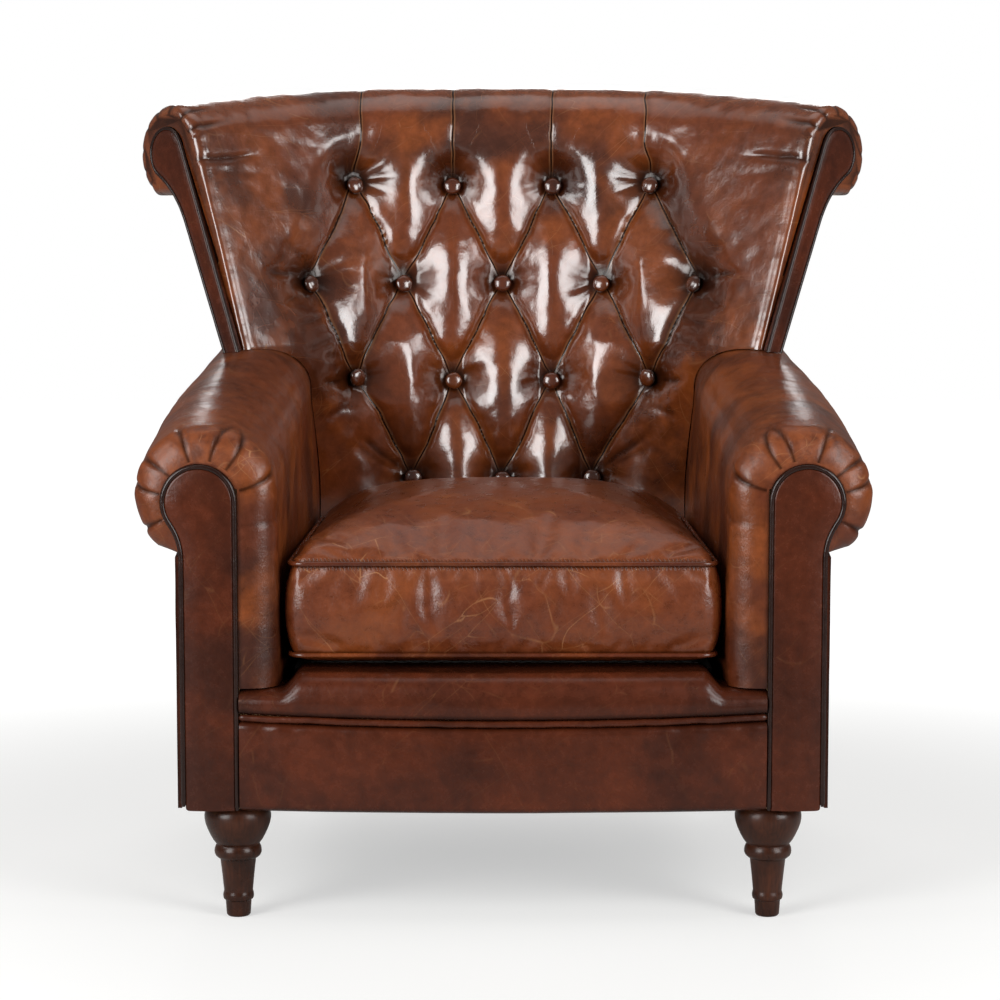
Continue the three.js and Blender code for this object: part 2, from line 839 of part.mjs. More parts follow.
function placedBox(width, depth, height, x, y, z) {
  const geometry = box(width, depth, height);
  geometry.translate(x, y, z);
  return geometry;
}

function armPadGeometry() {
  const recess = extrudeOutline(scrollOutline(armFacingSpec, -gap), -gap, overrun);
  recess.applyMatrix4(armFacingPlace());
  return cut(armGeometry(0, false), recess, backPostGeometry(gap));
}

function armRailGeometry() {
  const start = postFront + armPost.depth + gap;
  const angle = Math.atan(arm.riseShare);
  const lowZ = armRollZ(start) - armRail.rise;
  const end = backPostY(arm.rollHeight) - backPost.depth / 2 - gap;
  const highZ = armRollZ(end) - armRail.rise;
  const x = armHollowInner + gap * 2 + armRail.width / 2;
  const half = armRail.height / 2 / Math.cos(angle);
  const ring = (y, z) => [
    new THREE.Vector3(x - armRail.width / 2, y, z - half),
    new THREE.Vector3(x + armRail.width / 2, y, z - half),
    new THREE.Vector3(x + armRail.width / 2, y, z + half),
    new THREE.Vector3(x - armRail.width / 2, y, z + half),
  ];
  const rings = [ring(start, lowZ), ring(end, highZ)];
  const flats = rings.map((points) => points.map((point) => new THREE.Vector2(point.x, point.z)));
  return loft(rings, flats[0], flats[1]);
}

function outsideArmGeometry() {
  const start = frontPlane + armFacing.thickness;
  const foot = frameBottom + panel.lift;
  const endZ = armNeckZ(outsideBack.foot) - panel.thickness;
  const end = armRearY(endZ);
  const lean = end - armRearY(arm.wallFoot);
  const outline = [[start, foot], [armRearY(foot), foot]];
  for (let i = armStations; i >= 0; i -= 1) {
    const y = mix(start, end, i / armStations);
    outline.push([y, armNeckZ(y - (lean * i) / armStations) - panel.thickness]);
  }
  const shape = outline.map(([y, z]) => new THREE.Vector2(y, z));
  const geometry = extrudeOutline(shape, 0, panel.thickness);
  geometry.applyMatrix4(new THREE.Matrix4().makeBasis(
    new THREE.Vector3(0, 1, 0),
    new THREE.Vector3(0, 0, 1),
    new THREE.Vector3(1, 0, 0),
  ));
  geometry.translate(armHollowOuter + gap, 0, 0);
  return geometry;
}

// Long straight runs are split so that a smooth curve through the points keeps to them.
function openPath(outline, place, forward) {
  const points = [outline[0]];
  for (const next of outline.slice(1)) {
    const last = points[points.length - 1];
    const pieces = Math.ceil(next.distanceTo(last) / weltRun);
    for (let i = 1; i <= pieces; i += 1) {
      points.push(last.clone().lerp(next, i / pieces));
    }
  }
  return points.map((point) => new THREE.Vector3(point.x, point.y, forward).applyMatrix4(place));
}

function arms() {
  const group = new THREE.Group();
  const inset = 2 * armFacing.welt + 5 * gap;
  const board = extrudeOutline(scrollOutline(armFacingSpec, inset), 0, armFacing.thickness);
  board.applyMatrix4(armFacingPlace());
  const weltLine = scrollWeltLine(armFacingSpec, armFacing.welt);
  const weltForward = armFacing.thickness - armFacing.welt;
  const weltPath = openPath(weltLine, armFacingPlace(), weltForward);
  const welt = tubeAlong(weltPath, armFacing.welt, weltSides, armFacing.weltSteps);
  const pad = armPadGeometry();
  const railGeometry = armRailGeometry();
  const outside = outsideArmGeometry();
  for (const [name, side] of sideNames) {
    group.add(
      part(`arm_pad_${name}`, forSide(pad, side), 'armLeather'),
      part(`arm_facing_${name}`, forSide(toGeometry(toSolid(board)), side), 'panelLeather'),
      part(`arm_welt_${name}`, forSide(toGeometry(toSolid(welt)), side), 'pipingLeather'),
      part(`arm_rail_${name}`, forSide(railGeometry, side), 'frameWood'),
      part(`outside_arm_${name}`, forSide(toGeometry(toSolid(outside)), side), 'panelLeather'),
    );
  }
  return group;
}

// The back's front face. u runs from -1 at the left wing's end to 1 at the right wing's end.
function backHalfSpan(z) {
  return back.endAtArm + Math.max(0, z - back.armLevel) * back.flareShare;
}

function backFace(u, z) {
  const x = u * backHalfSpan(z);
  const bend = back.bend + Math.max(0, z - back.armLevel) * back.bendShare;
  const rise = (z - back.lowLevel) / (back.armLevel - back.lowLevel);
  const turn = mix(back.lowTurnShare, back.turnShare, smooth(rise));
  const forward = hinge(Math.abs(x) - bend, back.bendSoftness) - hinge(-bend, back.bendSoftness);
  const y = back.faceAtArm + (z - back.armLevel) * back.leanShare - turn * forward;
  return new THREE.Vector3(x, y, z);
}

// How far to each side the slope of the face is read.
const probe = { share: 0.002, length: 2 };

function backAlong(u, z) {
  return backFace(u + probe.share, z).sub(backFace(u - probe.share, z)).normalize();
}

function backInward(u, z) {
  const along = backAlong(u, z);
  return new THREE.Vector3(along.y, -along.x, 0);
}

function backNormal(u, z) {
  const up = backFace(u, z + probe.length).sub(backFace(u, z - probe.length));
  return backAlong(u, z).cross(up).normalize();
}

// The roll over the top: its centre, its radius and the lean of the padding that runs up into it.
function backRoll(u) {
  const x = Math.abs(u) * backHalfSpan(back.rollLevel);
  const bend = back.bend + (back.rollLevel - back.armLevel) * back.bendShare;
  const drop = back.rollDropShare * (hinge(x - bend, back.bendSoftness) - hinge(-bend, back.bendSoftness));
  const radius = mix(back.rollRadius, back.wingRollRadius, smooth((x - bend) / bend));
  const level = back.rollTop - drop - radius;
  const face = backFace(u, level);
  const inward = backInward(u, level);
  const below = backFace(u, level - probe.length).sub(face);
  const lean = Math.atan2(below.dot(inward), probe.length);
  const centre = face.clone().addScaledVector(inward, -radius / Math.cos(lean));
  return { centre, radius, level, inward, lean };
}

// The pattern fans out a little towards the top, it is gathered towards the wings, and its rows rise there.
function tuftPitch(z) {
  return tuft.across + tuft.fanShare * (z - back.armLevel);
}

function tuftX(column, z) {
  return column * tuftPitch(z) * (1 - tuft.gatherShare * Math.abs(column));
}

function tuftColumn(x, z) {
  const rest = Math.max(0, 1 - (4 * tuft.gatherShare * Math.abs(x)) / tuftPitch(z));
  return (Math.sign(x) * (1 - Math.sqrt(rest))) / (2 * tuft.gatherShare);
}

function backStationX(column, z) {
  const inner = tuftX(Math.min(Math.abs(column), tuftEndColumn), z);
  const outerShare = Math.max(0, (Math.abs(column) - tuftEndColumn) / (backEndColumn - tuftEndColumn));
  return Math.sign(column) * mix(inner, backHalfSpan(z), outerShare);
}

function backStationShare(column, z) {
  return backStationX(column, z) / backHalfSpan(z);
}

function backColumns() {
  const steps = (2 * backEndColumn) / backColumnStep;
  return Array.from({ length: steps + 1 }, (_, i) => i * backColumnStep - backEndColumn);
}

function tuftRowZ(column, row) {
  return tuft.topRow + tuft.arch * Math.min(Math.abs(column), tuftEndColumn) ** 2 - row * tuft.down;
}

// How far the leather is drawn in: diamonds between the buttons, a dimple at each and seams over the roll.
function tuftSink(x, z) {
  const p = tuftColumn(x, z);
  const q = (tuftRowZ(p, 0) - z) / tuft.down;
  const toLine = (value) => Math.abs(Math.sin(Math.PI * (value - 0.5)));
  const fade = tuftFadeShares;
  const inside = smooth((fade.sideEnd - Math.abs(p)) * fade.sideRun)
    * smooth((q + fade.topStart) * fade.topRun);
  const toValley = Math.min(toLine(p + q / 2), toLine(p - q / 2));
  const valley = 1 - Math.min(1, toValley * fade.valleySharpness);
  const above = smooth(-q * fade.topRun) * smooth((fade.seamEnd - Math.abs(p)) * fade.seamRun);
  const seam = (1 - Math.min(1, toLine(p) * fade.seamSharpness)) * above;
  let dimple = 0;
  tuftRows.forEach((row, index) => {
    for (const column of row) {
      const distance = Math.hypot((p - column) * tuft.across, (q - index) * tuft.down);
      dimple = Math.max(dimple, Math.exp(-((distance / tuft.dimple) ** 2)));
    }
  });
  return tuft.valleyDepth * valley * inside + (tuft.buttonDepth - tuft.valleyDepth * inside) * dimple
    + tuft.seamDepth * seam;
}

function backPadThickness(u, z) {
  const wing = back.wingThickness + Math.max(0, z - back.armLevel) * back.wingThicknessShare;
  const start = back.wingStartShare;
  return mix(back.thickness, wing, smooth((Math.abs(u) - start) / (1 - start)));
}

// One section of the padding, as points in the chair, how far each is drawn in, and a flat outline
// (x outwards, y up). The rounded ends, which have an inset, close the slot for the top rail.
function backSection(column, inset) {
  const roll = backRoll(backStationShare(column, back.rollLevel));
  const points = [];
  const sinks = [];
  const onWall = (z, depth) => {
    const u = backStationShare(column, z);
    points.push(backFace(u, z).addScaledVector(backInward(u, z), -depth));
    sinks.push(depth);
  };
  const onRoll = (x, y) => {
    points.push(roll.centre.clone().addScaledVector(roll.inward, -x).setZ(roll.level + y));
    sinks.push(0);
  };
  const foot = deckTop + gap;
  for (const z of [foot, ...backRowLines.map((row) => tuftRowZ(column, row))]) {
    onWall(z, inset > 0 ? inset / 2 : tuftSink(backStationX(column, z), z));
  }
  for (let i = 0; i <= backArcSteps; i += 1) {
    const angle = mix(roll.lean, radians(backRollEndDegrees), i / backArcSteps);
    const radius = roll.radius - inset;
    onRoll(-radius * Math.cos(angle), radius * Math.sin(angle));
  }
  const under = (roll.radius - inset) * Math.sin(radians(backRollEndDegrees));
  const half = topRail.width / 2 + gap;
  const rise = inset > 0 ? under + gap : topRail.rise + gap;
  onRoll(half, under);
  onRoll(half, rise);
  onRoll(-half, rise);
  onRoll(-half, under);
  const rearTop = roll.level + under - panel.thickness * 2;
  for (let i = 0; i <= backRearLevels; i += 1) {
    const z = mix(rearTop, foot, i / backRearLevels);
    onWall(z, backPadThickness(backStationShare(column, z), z));
  }
  const flat = points.map((point) => new THREE.Vector2(
    -point.clone().sub(roll.centre).dot(roll.inward),
    point.z - roll.level,
  ));
  return { flat, points, sinks, roll };
}

function backShellGeometry() {
  const sections = backColumns().map((column) => backSection(column, 0));
  for (const side of [-1, 1]) {
    for (let i = 1; i <= backEndSteps; i += 1) {
      const angle = (i / backEndSteps) * (Math.PI / 2);
      const section = backSection(side * backEndColumn, back.endSoftness * (1 - Math.cos(angle)));
      const outward = backAlong(side, section.roll.level).multiplyScalar(side);
      section.points.forEach((point) => point.addScaledVector(outward, back.endRound * Math.sin(angle)));
      if (side > 0) {
        sections.push(section);
      } else {
        sections.unshift(section);
      }
    }
  }
  const sinkAt = (i, j) => sections[i].sinks[j % sections[i].sinks.length];
  const alongFold = (i, j) => sinkAt(i + 1, j) + sinkAt(i, j + 1) > sinkAt(i, j) + sinkAt(i + 1, j + 1);
  const rings = sections.map((section) => section.points);
  return loft(rings, sections[0].flat, sections[sections.length - 1].flat, { turned: alongFold });
}

// The height of the roll's underside, where the outer skins stop.
function underRoll(u) {
  const roll = backRoll(u);
  return roll.level + roll.radius * Math.sin(radians(backRollEndDegrees)) - 5 * gap;
}

const outsideCornerShare = outsideBack.topHalfWidth / backHalfSpan(back.rollLevel);

function outsideBackHalfWidth(z) {
  const share = (z - outsideBack.wingHeight) / (underRoll(outsideCornerShare) - outsideBack.wingHeight);
  return mix(outsideBack.wingHalfWidth, outsideBack.topHalfWidth, share);
}

const wingEnd = backRoll(1);
const wingOutward = backAlong(1, wingEnd.level);
const wingFacingSpec = {
  headRadius: wingFacing.headRadius,
  footLevel: -wingFacing.footDrop - wingFacing.tail,
  innerFoot: -wingFacing.innerFoot - wingFacing.tail * wingFacing.innerRunShare,
  outerFoot: -wingFacing.outerFoot - wingFacing.tail * wingFacing.outerRunShare,
  outerRun: wingFacing.outerRunShare,
  innerRun: wingFacing.innerRunShare,
  underDegrees: wingFacing.underDegrees,
  corner: wingFacing.corner,
};
const wingFacingBack = back.endRound + wingFacing.proud - wingFacing.thickness;

function wingFacingPlace() {
  return new THREE.Matrix4()
    .makeBasis(wingEnd.inward.clone().negate(), new THREE.Vector3(0, 0, 1), wingOutward)
    .setPosition(wingEnd.centre.clone().addScaledVector(wingOutward, wingFacingBack));
}

function topRailGeometry() {
  const rings = [];
  const half = topRail.width / 2;
  let flat;
  for (const column of backColumns()) {
    const roll = backRoll(backStationShare(column, back.rollLevel));
    const low = roll.radius * Math.sin(radians(backRollEndDegrees));
    flat = [[half, low], [half, topRail.rise], [-half, topRail.rise], [-half, low]]
      .map(([x, y]) => new THREE.Vector2(x, y));
    rings.push(flat.map((point) => roll.centre.clone()
      .addScaledVector(roll.inward, -point.x)
      .setZ(roll.level + point.y)));
  }
  return loft(rings, flat, flat);
}

// The wing's outside skin runs straight from the outside back's edge to the facing's outer edge. Inside it
// lies the wing's frame, over the front columns only.
function wingSheetGeometry(from, thickness, firstColumn, [lowShare, highShare]) {
  const place = wingFacingPlace();
  const levels = 5;
  const rings = [];
  for (let i = 0; i <= levels; i += 1) {
    const share = mix(lowShare, highShare, i / levels);
    const frontZ = mix(outsideBack.wingHeight - wingSheet.frontTuck, underRoll(1), share);
    const rearZ = mix(outsideBack.wingHeight + wingSheet.rearRise, underRoll(outsideCornerShare), share);
    const drop = frontZ - wingEnd.level;
    const out = -wingFacing.outerFoot + (drop + wingFacing.footDrop) * wingFacing.outerRunShare;
    const front = new THREE.Vector3(out, drop, -gap).applyMatrix4(place);
    const rear = new THREE.Vector3(outsideBackHalfWidth(rearZ), outsideBackFront(rearZ) - gap, rearZ);
    const run = front.clone().sub(rear).setZ(0).normalize();
    const inwards = new THREE.Vector3(run.y, -run.x, 0);
    const outer = [];
    for (let column = firstColumn; column <= wingSheetColumns; column += 1) {
      const point = rear.clone().lerp(front, column / wingSheetColumns);
      outer.push(point.addScaledVector(inwards, from));
    }
    const inner = outer.map((point) => point.clone().addScaledVector(inwards, thickness));
    rings.push([...outer, ...inner.reverse()]);
  }
  return standingLoft(rings, { thin: true });
}

function outsideBackGeometry() {
  const foot = frameBottom + panel.lift;
  const half = [
    [armHollowOuter, foot],
    [armHollowOuter, outsideBack.shoulderHeight],
    [outsideBack.wingHalfWidth, outsideBack.wingHeight],
  ];
  const topSteps = 5;
  for (let i = topSteps; i > 0; i -= 1) {
    const x = (outsideBack.topHalfWidth * i) / topSteps;
    half.push([x, underRoll(x / backHalfSpan(back.rollLevel))]);
  }
  const outline = [...half, [0, underRoll(0)], ...half.map(([x, z]) => [-x, z]).reverse()];
  const rings = [outsideBackFront, outsideBackRear]
    .map((face) => outline.map(([x, z]) => new THREE.Vector3(x, face(z), z)));
  const flat = outline.map(([x, z]) => new THREE.Vector2(x, z));
  return loft(rings, flat, flat);
}

// Buttons sit at the bottom of their dimples, square to the padding.
function buttonGeometry() {
  const profile = buttonProfileShares
    .map(([radius, height]) => new THREE.Vector2((radius * button.diameter) / 2, height * button.height));
  const geometry = new THREE.LatheGeometry(profile, button.sides);
  geometry.rotateX(Math.PI / 2);
  return geometry;
}

function buttonPlaces() {
  const places = [];
  tuftRows.forEach((row, rowIndex) => {
    row.forEach((column, columnIndex) => {
      const z = tuftRowZ(column, rowIndex);
      const u = tuftX(column, z) / backHalfSpan(z);
      const normal = backNormal(u, z);
      const settling = buttonSettling[rowIndex][Math.floor(Math.abs(column))];
      const position = backFace(u, z).addScaledVector(normal, button.seat - settling - tuft.buttonDepth);
      const name = `back_button_${rowIndex + 1}_${columnIndex + 1}`;
      const quaternion = new THREE.Quaternion().setFromUnitVectors(new THREE.Vector3(0, 0, 1), normal);
      places.push({ name, position, quaternion });
    });
  });
  return places;
}

function backs() {
  const group = new THREE.Group();
  const armTool = armGeometry(gap, true);
  const armTools = [armTool, mirrored(armTool)];
  const place = wingFacingPlace();
  const recess = extrudeOutline(scrollOutline(wingFacingSpec, -gap), -gap, overrun);
  recess.applyMatrix4(place);
  const recessSolid = toGeometry(toSolid(recess));
  const cushionTool = cushionGeometry(-cushion.aboveDeck);
  const pad = cut(backShellGeometry(), ...armTools, recessSolid, mirrored(recessSolid), cushionTool);
  group.add(
    part('inside_back', pad, 'backLeather'),
    part('back_top_rail', topRailGeometry(), 'frameWood'),
    part('outside_back', outsideBackGeometry(), 'panelLeather'),
  );
  for (const buttonPlace of buttonPlaces()) {
    const mesh = part(buttonPlace.name, buttonGeometry(), 'buttonLeather');
    mesh.position.copy(buttonPlace.position);
    mesh.quaternion.copy(buttonPlace.quaternion);
    group.add(mesh);
  }
  const inset = 2 * wingFacing.welt + 4 * gap;
  const board = extrudeOutline(scrollOutline(wingFacingSpec, inset), 0, wingFacing.thickness);
  board.applyMatrix4(place);
  const weltLine = scrollWeltLine(wingFacingSpec, wingFacing.welt);
  const weltForward = wingFacing.thickness - wingFacing.welt;
  const weltPath = openPath(weltLine, place, weltForward);
  const welt = tubeAlong(weltPath, wingFacing.welt, weltSides, wingFacing.weltSteps);
  const sheet = wingSheetGeometry(0, panel.thickness, 0, [0, 1]);
  const inside = panel.thickness + 6 * gap;
  const stiffener = wingSheetGeometry(inside, wingFrame.thickness, wingFrameColumn, wingFrameShares);
  const cuts = {
    wing_facing: [board, [armTool], 'panelLeather'],
    wing_welt: [welt, [armTool], 'pipingLeather'],
    outside_wing: [sheet, [armTool], 'panelLeather'],
    wing_frame: [stiffener, [armTool], 'frameWood'],
    back_post: [backPostGeometry(0), [], 'frameWood'],
  };
  for (const [stem, [geometry, tools, finish]] of Object.entries(cuts)) {
    const shaped = cut(geometry, ...tools);
    for (const [name, side] of sideNames) {
      group.add(part(`${stem}_${name}`, forSide(shaped, side), finish));
    }
  }
  return group;
}

// The cushion, as rings from the middle of the underside to the middle of the crown.
const cushionFoot = deckTop + cushion.aboveDeck;
const cushionWeltLow = cushionFoot + cushion.belly;
const cushionWeltHigh = cushionWeltLow + cushion.boxing;
const cushionFrontY = frontPlane + cushion.front;
const cushionMiddleY = cushionFrontY + cushion.depth / 2;

// A rectangle seen from above, with rounded corners and narrower at the rear.
function cushionRing(share, z, inset, swell) {
  const grow = swell - inset;
  const halfDepth = cushion.depth / 2 + grow;
  const halfAt = (y) => cushionWidth / 2 + grow - (cushion.rearTaper * (y + halfDepth)) / (2 * halfDepth);
  const corners = [[1, 1, cushion.rearCorner], [-1, 1, cushion.rearCorner], [-1, -1, cushion.frontCorner],
    [1, -1, cushion.frontCorner]];
  const outline = [];
  corners.forEach(([sideX, sideY, round], corner) => {
    const radius = Math.max(round + grow, cushion.welt);
    const middleY = sideY * (halfDepth - radius);
    const middleX = sideX * (halfAt(middleY) - radius);
    for (let i = 0; i <= cushionCornerSteps; i += 1) {
      const angle = (corner + i / cushionCornerSteps) * (Math.PI / 2);
      outline.push([middleX + radius * Math.cos(angle), middleY + radius * Math.sin(angle)]);
    }
  });
  const ring = [];
  outline.forEach(([x, y], i) => {
    const [nextX, nextY] = outline[(i + 1) % outline.length];
    const steps = i % (cushionCornerSteps + 1) === cushionCornerSteps ? cushionSidePoints : 1;
    for (let step = 0; step < steps; step += 1) {
      const along = step / steps;
      const outX = share * mix(x, nextX, along);
      const outY = share * mix(y, nextY, along);
      ring.push(new THREE.Vector3(outX, cushionMiddleY + outY, z));
    }
  });
  return ring;
}

function cushionGeometry(inset) {
  const rings = bellyRingShares.map((share) => cushionRing(share, cushionFoot + inset, inset, 0));
  for (const share of boxingShares) {
    const z = mix(cushionWeltLow + inset, cushionWeltHigh - inset, share);
    rings.push(cushionRing(1, z, inset, cushion.sideSwell * Math.sin(Math.PI * share)));
  }
  for (const share of crownRingShares) {
    const rise = (1 - share ** crownPower) ** crownFullness;
    rings.push(cushionRing(share, cushionWeltHigh - inset + cushion.crown * rise, inset, 0));
  }
  return standingLoft(rings);
}

// A closed loop of piping round the cushion.
function weltLoop(z) {
  const path = cushionRing(1, z, -cushion.welt - 2 * gap, 0);
  const sides = weltSides;
  const up = new THREE.Vector3(0, 0, 1);
  const points = path.flatMap((point, i) => {
    const before = path[(i + path.length - 1) % path.length];
    const after = path[(i + 1) % path.length];
    const outwards = after.clone().sub(before).cross(up).normalize();
    return Array.from({ length: sides }, (_, j) => {
      const angle = (j / sides) * 2 * Math.PI;
      return point.clone()
        .addScaledVector(outwards, cushion.welt * Math.cos(angle))
        .addScaledVector(up, cushion.welt * Math.sin(angle));
    });
  });
  const index = [];
  path.forEach((_, i) => {
    const next = (i + 1) % path.length;
    for (let j = 0; j < sides; j += 1) {
      const [a, b] = [i * sides + j, i * sides + ((j + 1) % sides)];
      const [c, d] = [next * sides + j, next * sides + ((j + 1) % sides)];
      index.push(a, c, b, b, c, d);
    }
  });
  const geometry = new THREE.BufferGeometry().setFromPoints(points);
  geometry.setIndex(index);
  geometry.computeVertexNormals();
  return geometry;
}

function cushionParts() {
  const group = new THREE.Group();
  const slotHeight = cushion.zipWidth;
  const rearY = cushionMiddleY + cushion.depth / 2;
  const slotZ = (cushionWeltLow + cushionWeltHigh) / 2;
  const slot = placedBox(cushion.zipLength, overrun, slotHeight, 0, rearY, slotZ);
  const hollow = cushionGeometry(cushion.cover);
  const cover = cut(cushionGeometry(0), hollow, slot);
  const zip = placedBox(
    cushion.zipLength - 2 * gap,
    cushion.cover - gap,
    slotHeight - 2 * gap,
    0,
    rearY + cushion.sideSwell - cushion.cover / 2,
    slotZ,
  );
  group.add(
    part('seat_cushion_cover', cover, 'cushionLeather'),
    part('seat_cushion_core', cushionGeometry(cushion.cover + cushion.coreGap), 'foam'),
    part('cushion_zip', zip, 'zipTape'),
    part('cushion_welt_top', weltLoop(cushionWeltHigh), 'cushionLeather'),
    part('cushion_welt_bottom', weltLoop(cushionWeltLow), 'cushionLeather'),
  );
  return group;
}

const chair = new THREE.Group();
chair.add(legs(), seatFrame(), seatBase(), arms(), backs(), cushionParts());

// The origin is on the floor, under the middle of the whole chair.
const extent = new THREE.Box3().setFromObject(chair);
chair.position.y = -(extent.min.y + extent.max.y) / 2;
chair.updateMatrixWorld(true);

export default chair;
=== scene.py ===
"""Dresses the packed leather club armchair: buttoned back, scroll arms, loose cushion, legs and studio."""

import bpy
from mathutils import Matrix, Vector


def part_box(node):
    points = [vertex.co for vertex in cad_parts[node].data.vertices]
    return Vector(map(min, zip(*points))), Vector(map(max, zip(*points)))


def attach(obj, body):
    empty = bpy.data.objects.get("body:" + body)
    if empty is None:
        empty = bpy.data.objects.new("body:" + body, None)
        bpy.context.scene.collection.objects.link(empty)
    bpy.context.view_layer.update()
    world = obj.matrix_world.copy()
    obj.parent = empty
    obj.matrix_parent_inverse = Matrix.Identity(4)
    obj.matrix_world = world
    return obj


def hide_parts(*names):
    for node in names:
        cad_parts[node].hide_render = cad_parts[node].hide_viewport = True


bl_info = {
    "name": "Leather Club Armchair",
    "version": (1, 0, 0),
    "blender": (4, 5, 0),
    "location": "3D View > Sidebar > Armchair",
    "description": "The padding, leather, legs and studio of a buttoned leather club armchair",
    "category": "Object",
}

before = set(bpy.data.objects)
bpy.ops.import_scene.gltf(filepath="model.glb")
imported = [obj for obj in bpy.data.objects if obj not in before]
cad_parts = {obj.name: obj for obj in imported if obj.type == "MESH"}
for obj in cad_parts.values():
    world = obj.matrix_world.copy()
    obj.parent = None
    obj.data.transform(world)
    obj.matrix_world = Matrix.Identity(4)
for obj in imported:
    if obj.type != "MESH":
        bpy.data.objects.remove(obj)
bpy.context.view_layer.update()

import math

import bmesh
import bpy
import numpy as np
from bpy.props import FloatProperty, FloatVectorProperty, IntProperty, PointerProperty
from mathutils import Euler, Vector

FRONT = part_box("arm_facing_right")[0].y  # the front of the arm facings, which depths are measured from
FRAME_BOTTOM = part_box("front_rail_cover")[0].z
DECK_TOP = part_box("seat_deck")[1].z
CHAIR = "chair"
CUSHION = "seat_cushion"
GAP = 0.0003
ARM_GAP = 0.0008  # what the back, the wings and their piping keep from the arms
STEP = 0.002  # how far apart two points are taken to find a slope
SOFT_EDGE = 50  # degrees: an edge sharper than this shows as an edge
SIDES = (("left", -1), ("right", 1))


# Sizes and colours that can be changed in the sidebar


def linear(hex_code):
    """Turns an sRGB colour such as "6d3822" to linear red, green and blue."""
    shades = [int(hex_code[i:i + 2], 16) / 255 for i in (0, 2, 4)]
    return tuple(c / 12.92 if c <= 0.04045 else ((c + 0.055) / 1.055) ** 2.4 for c in shades)


def length(name, description, default):
    """A size in metres."""
    return FloatProperty(name=name, description=description, default=default, unit="LENGTH", precision=4)


def share(name, description, default):
    """A plain ratio."""
    return FloatProperty(name=name, description=description, default=default, subtype="FACTOR", precision=4)


def colour(name, description, hex_code):
    """A surface colour."""
    return FloatVectorProperty(name=name, description=description, default=linear(hex_code),
                               subtype="COLOR", min=0, max=1)


class ArmchairBack(bpy.types.PropertyGroup):
    """The buttoned inside back, its roll and the wings."""

    face: length("Face", "How far the padding's face stands behind the arm fronts at arm level", 0.627)
    arm_level: length("Arm level", "Height where the wings start to flare", 0.64)
    low_level: length("Low level", "Height below which the back stays nearly flat", 0.42)
    lean: share("Lean", "How far the face leans back for each unit of height", 0.181)
    half_width: length("Half width", "From the middle to the wing's front edge at arm level", 0.318)
    flare: share("Flare", "How much the half width grows for each unit of height", 0.248)
    bend: length("Bend", "Where the face starts to turn forward", 0.13)
    bend_rise: share("Bend rise", "How far the bend moves out for each unit of height", 0.282)
    bend_softness: length("Bend softness", "How gently the face turns forward", 0.06)
    low_turn: share("Low turn", "Share of the turn that is left behind the cushion", 0.08)
    top: length("Top", "Height of the roll", 0.986)
    roll: length("Roll radius", "Radius of the top roll in the middle", 0.07)
    wing_roll: length("Wing roll radius", "Radius of the roll at the wings", 0.064)
    roll_level: length("Roll level", "Height that the roll's plan is taken at", 0.9)
    roll_drop: share("Roll drop", "How much the roll drops for each unit that the wing comes forward", 0.18)
    thickness: length("Thickness", "Padding thickness in the middle", 0.06)
    wing_thickness: length("Wing thickness", "Padding thickness at the wing's edge", 0.021)
    wing_thicken: share("Wing thickening", "Growth of the wing's padding with height", 0.085)
    end_round: length("End rounding", "How far the padding bulges past the wing's end", 0.015)
    end_softness: length("End softness", "How far that bulge is drawn in", 0.013)
    across: length("Button spacing", "Spacing of the buttons across at arm level", 0.132)
    fan: share("Fan", "Growth of the spacing with height", 0.02904)
    down: length("Row spacing", "Spacing of the rows", 0.1323)
    gather: share("Gather", "How much closer the buttons stand for each one further from the middle", 0.056)
    top_row: length("Top row", "Height of the top row of buttons", 0.854)
    arch: length("Arch", "How much the rows rise at one spacing from the middle", 0.001)
    valley: length("Valley depth", "Depth of the diamond folds", 0.0245)
    ridge: length("Ridge softness", "How round the middle of each diamond is", 0.011)
    dimple: length("Button depth", "How deep the buttons are drawn in", 0.0315)
    button: length("Button diameter", "Diameter of a covered button", 0.0235)


class ArmchairArms(bpy.types.PropertyGroup):
    """The padded scroll arms and their facings."""

    seat_width: length("Seat width", "Between the arms", 0.504)
    wall: length("Wall", "Padding of the inside wall", 0.0475)
    box_width: length("Box width", "Width of the frame inside the arm", 0.0665)
    roll: length("Roll radius", "Radius of the arm's roll at the front", 0.078)
    rear_roll: length("Rear roll radius", "Radius of the roll at the back", 0.06)
    taper_start: length("Taper start", "Where the roll starts to taper, behind the front", 0.175)
    taper_end: length("Taper end", "Where it stops", 0.605)
    flat: length("Flat", "How much further the roll reaches inwards than its radius", 0.01)
    height: length("Roll height", "Height of the roll's centre at the front", 0.486)
    rise: share("Rise", "How much the roll rises towards the back", 0.1763)
    foot: length("Foot", "Lower edge of the inside wall", 0.272)
    wall_drop: length("Wall drop", "Where the wall meets the roll, below its centre", 0.022)
    swell: length("Swell", "How much the wall swells towards the back", 0.008)
    front_round: length("Front rounding", "Depth of the rounded front edge", 0.027)
    head: length("Facing head", "Radius of the facing's round head", 0.0435)
    facing: length("Facing thickness", "Thickness of the facing board", 0.012)
    facing_drop: length("Facing drop", "Facing's head below the roll's centre", 0.002)
    neck: length("Neck", "Drop from the roll's centre to the neck", 0.066)
    welt: length("Welt radius", "Radius of the piping round the facing", 0.0029)


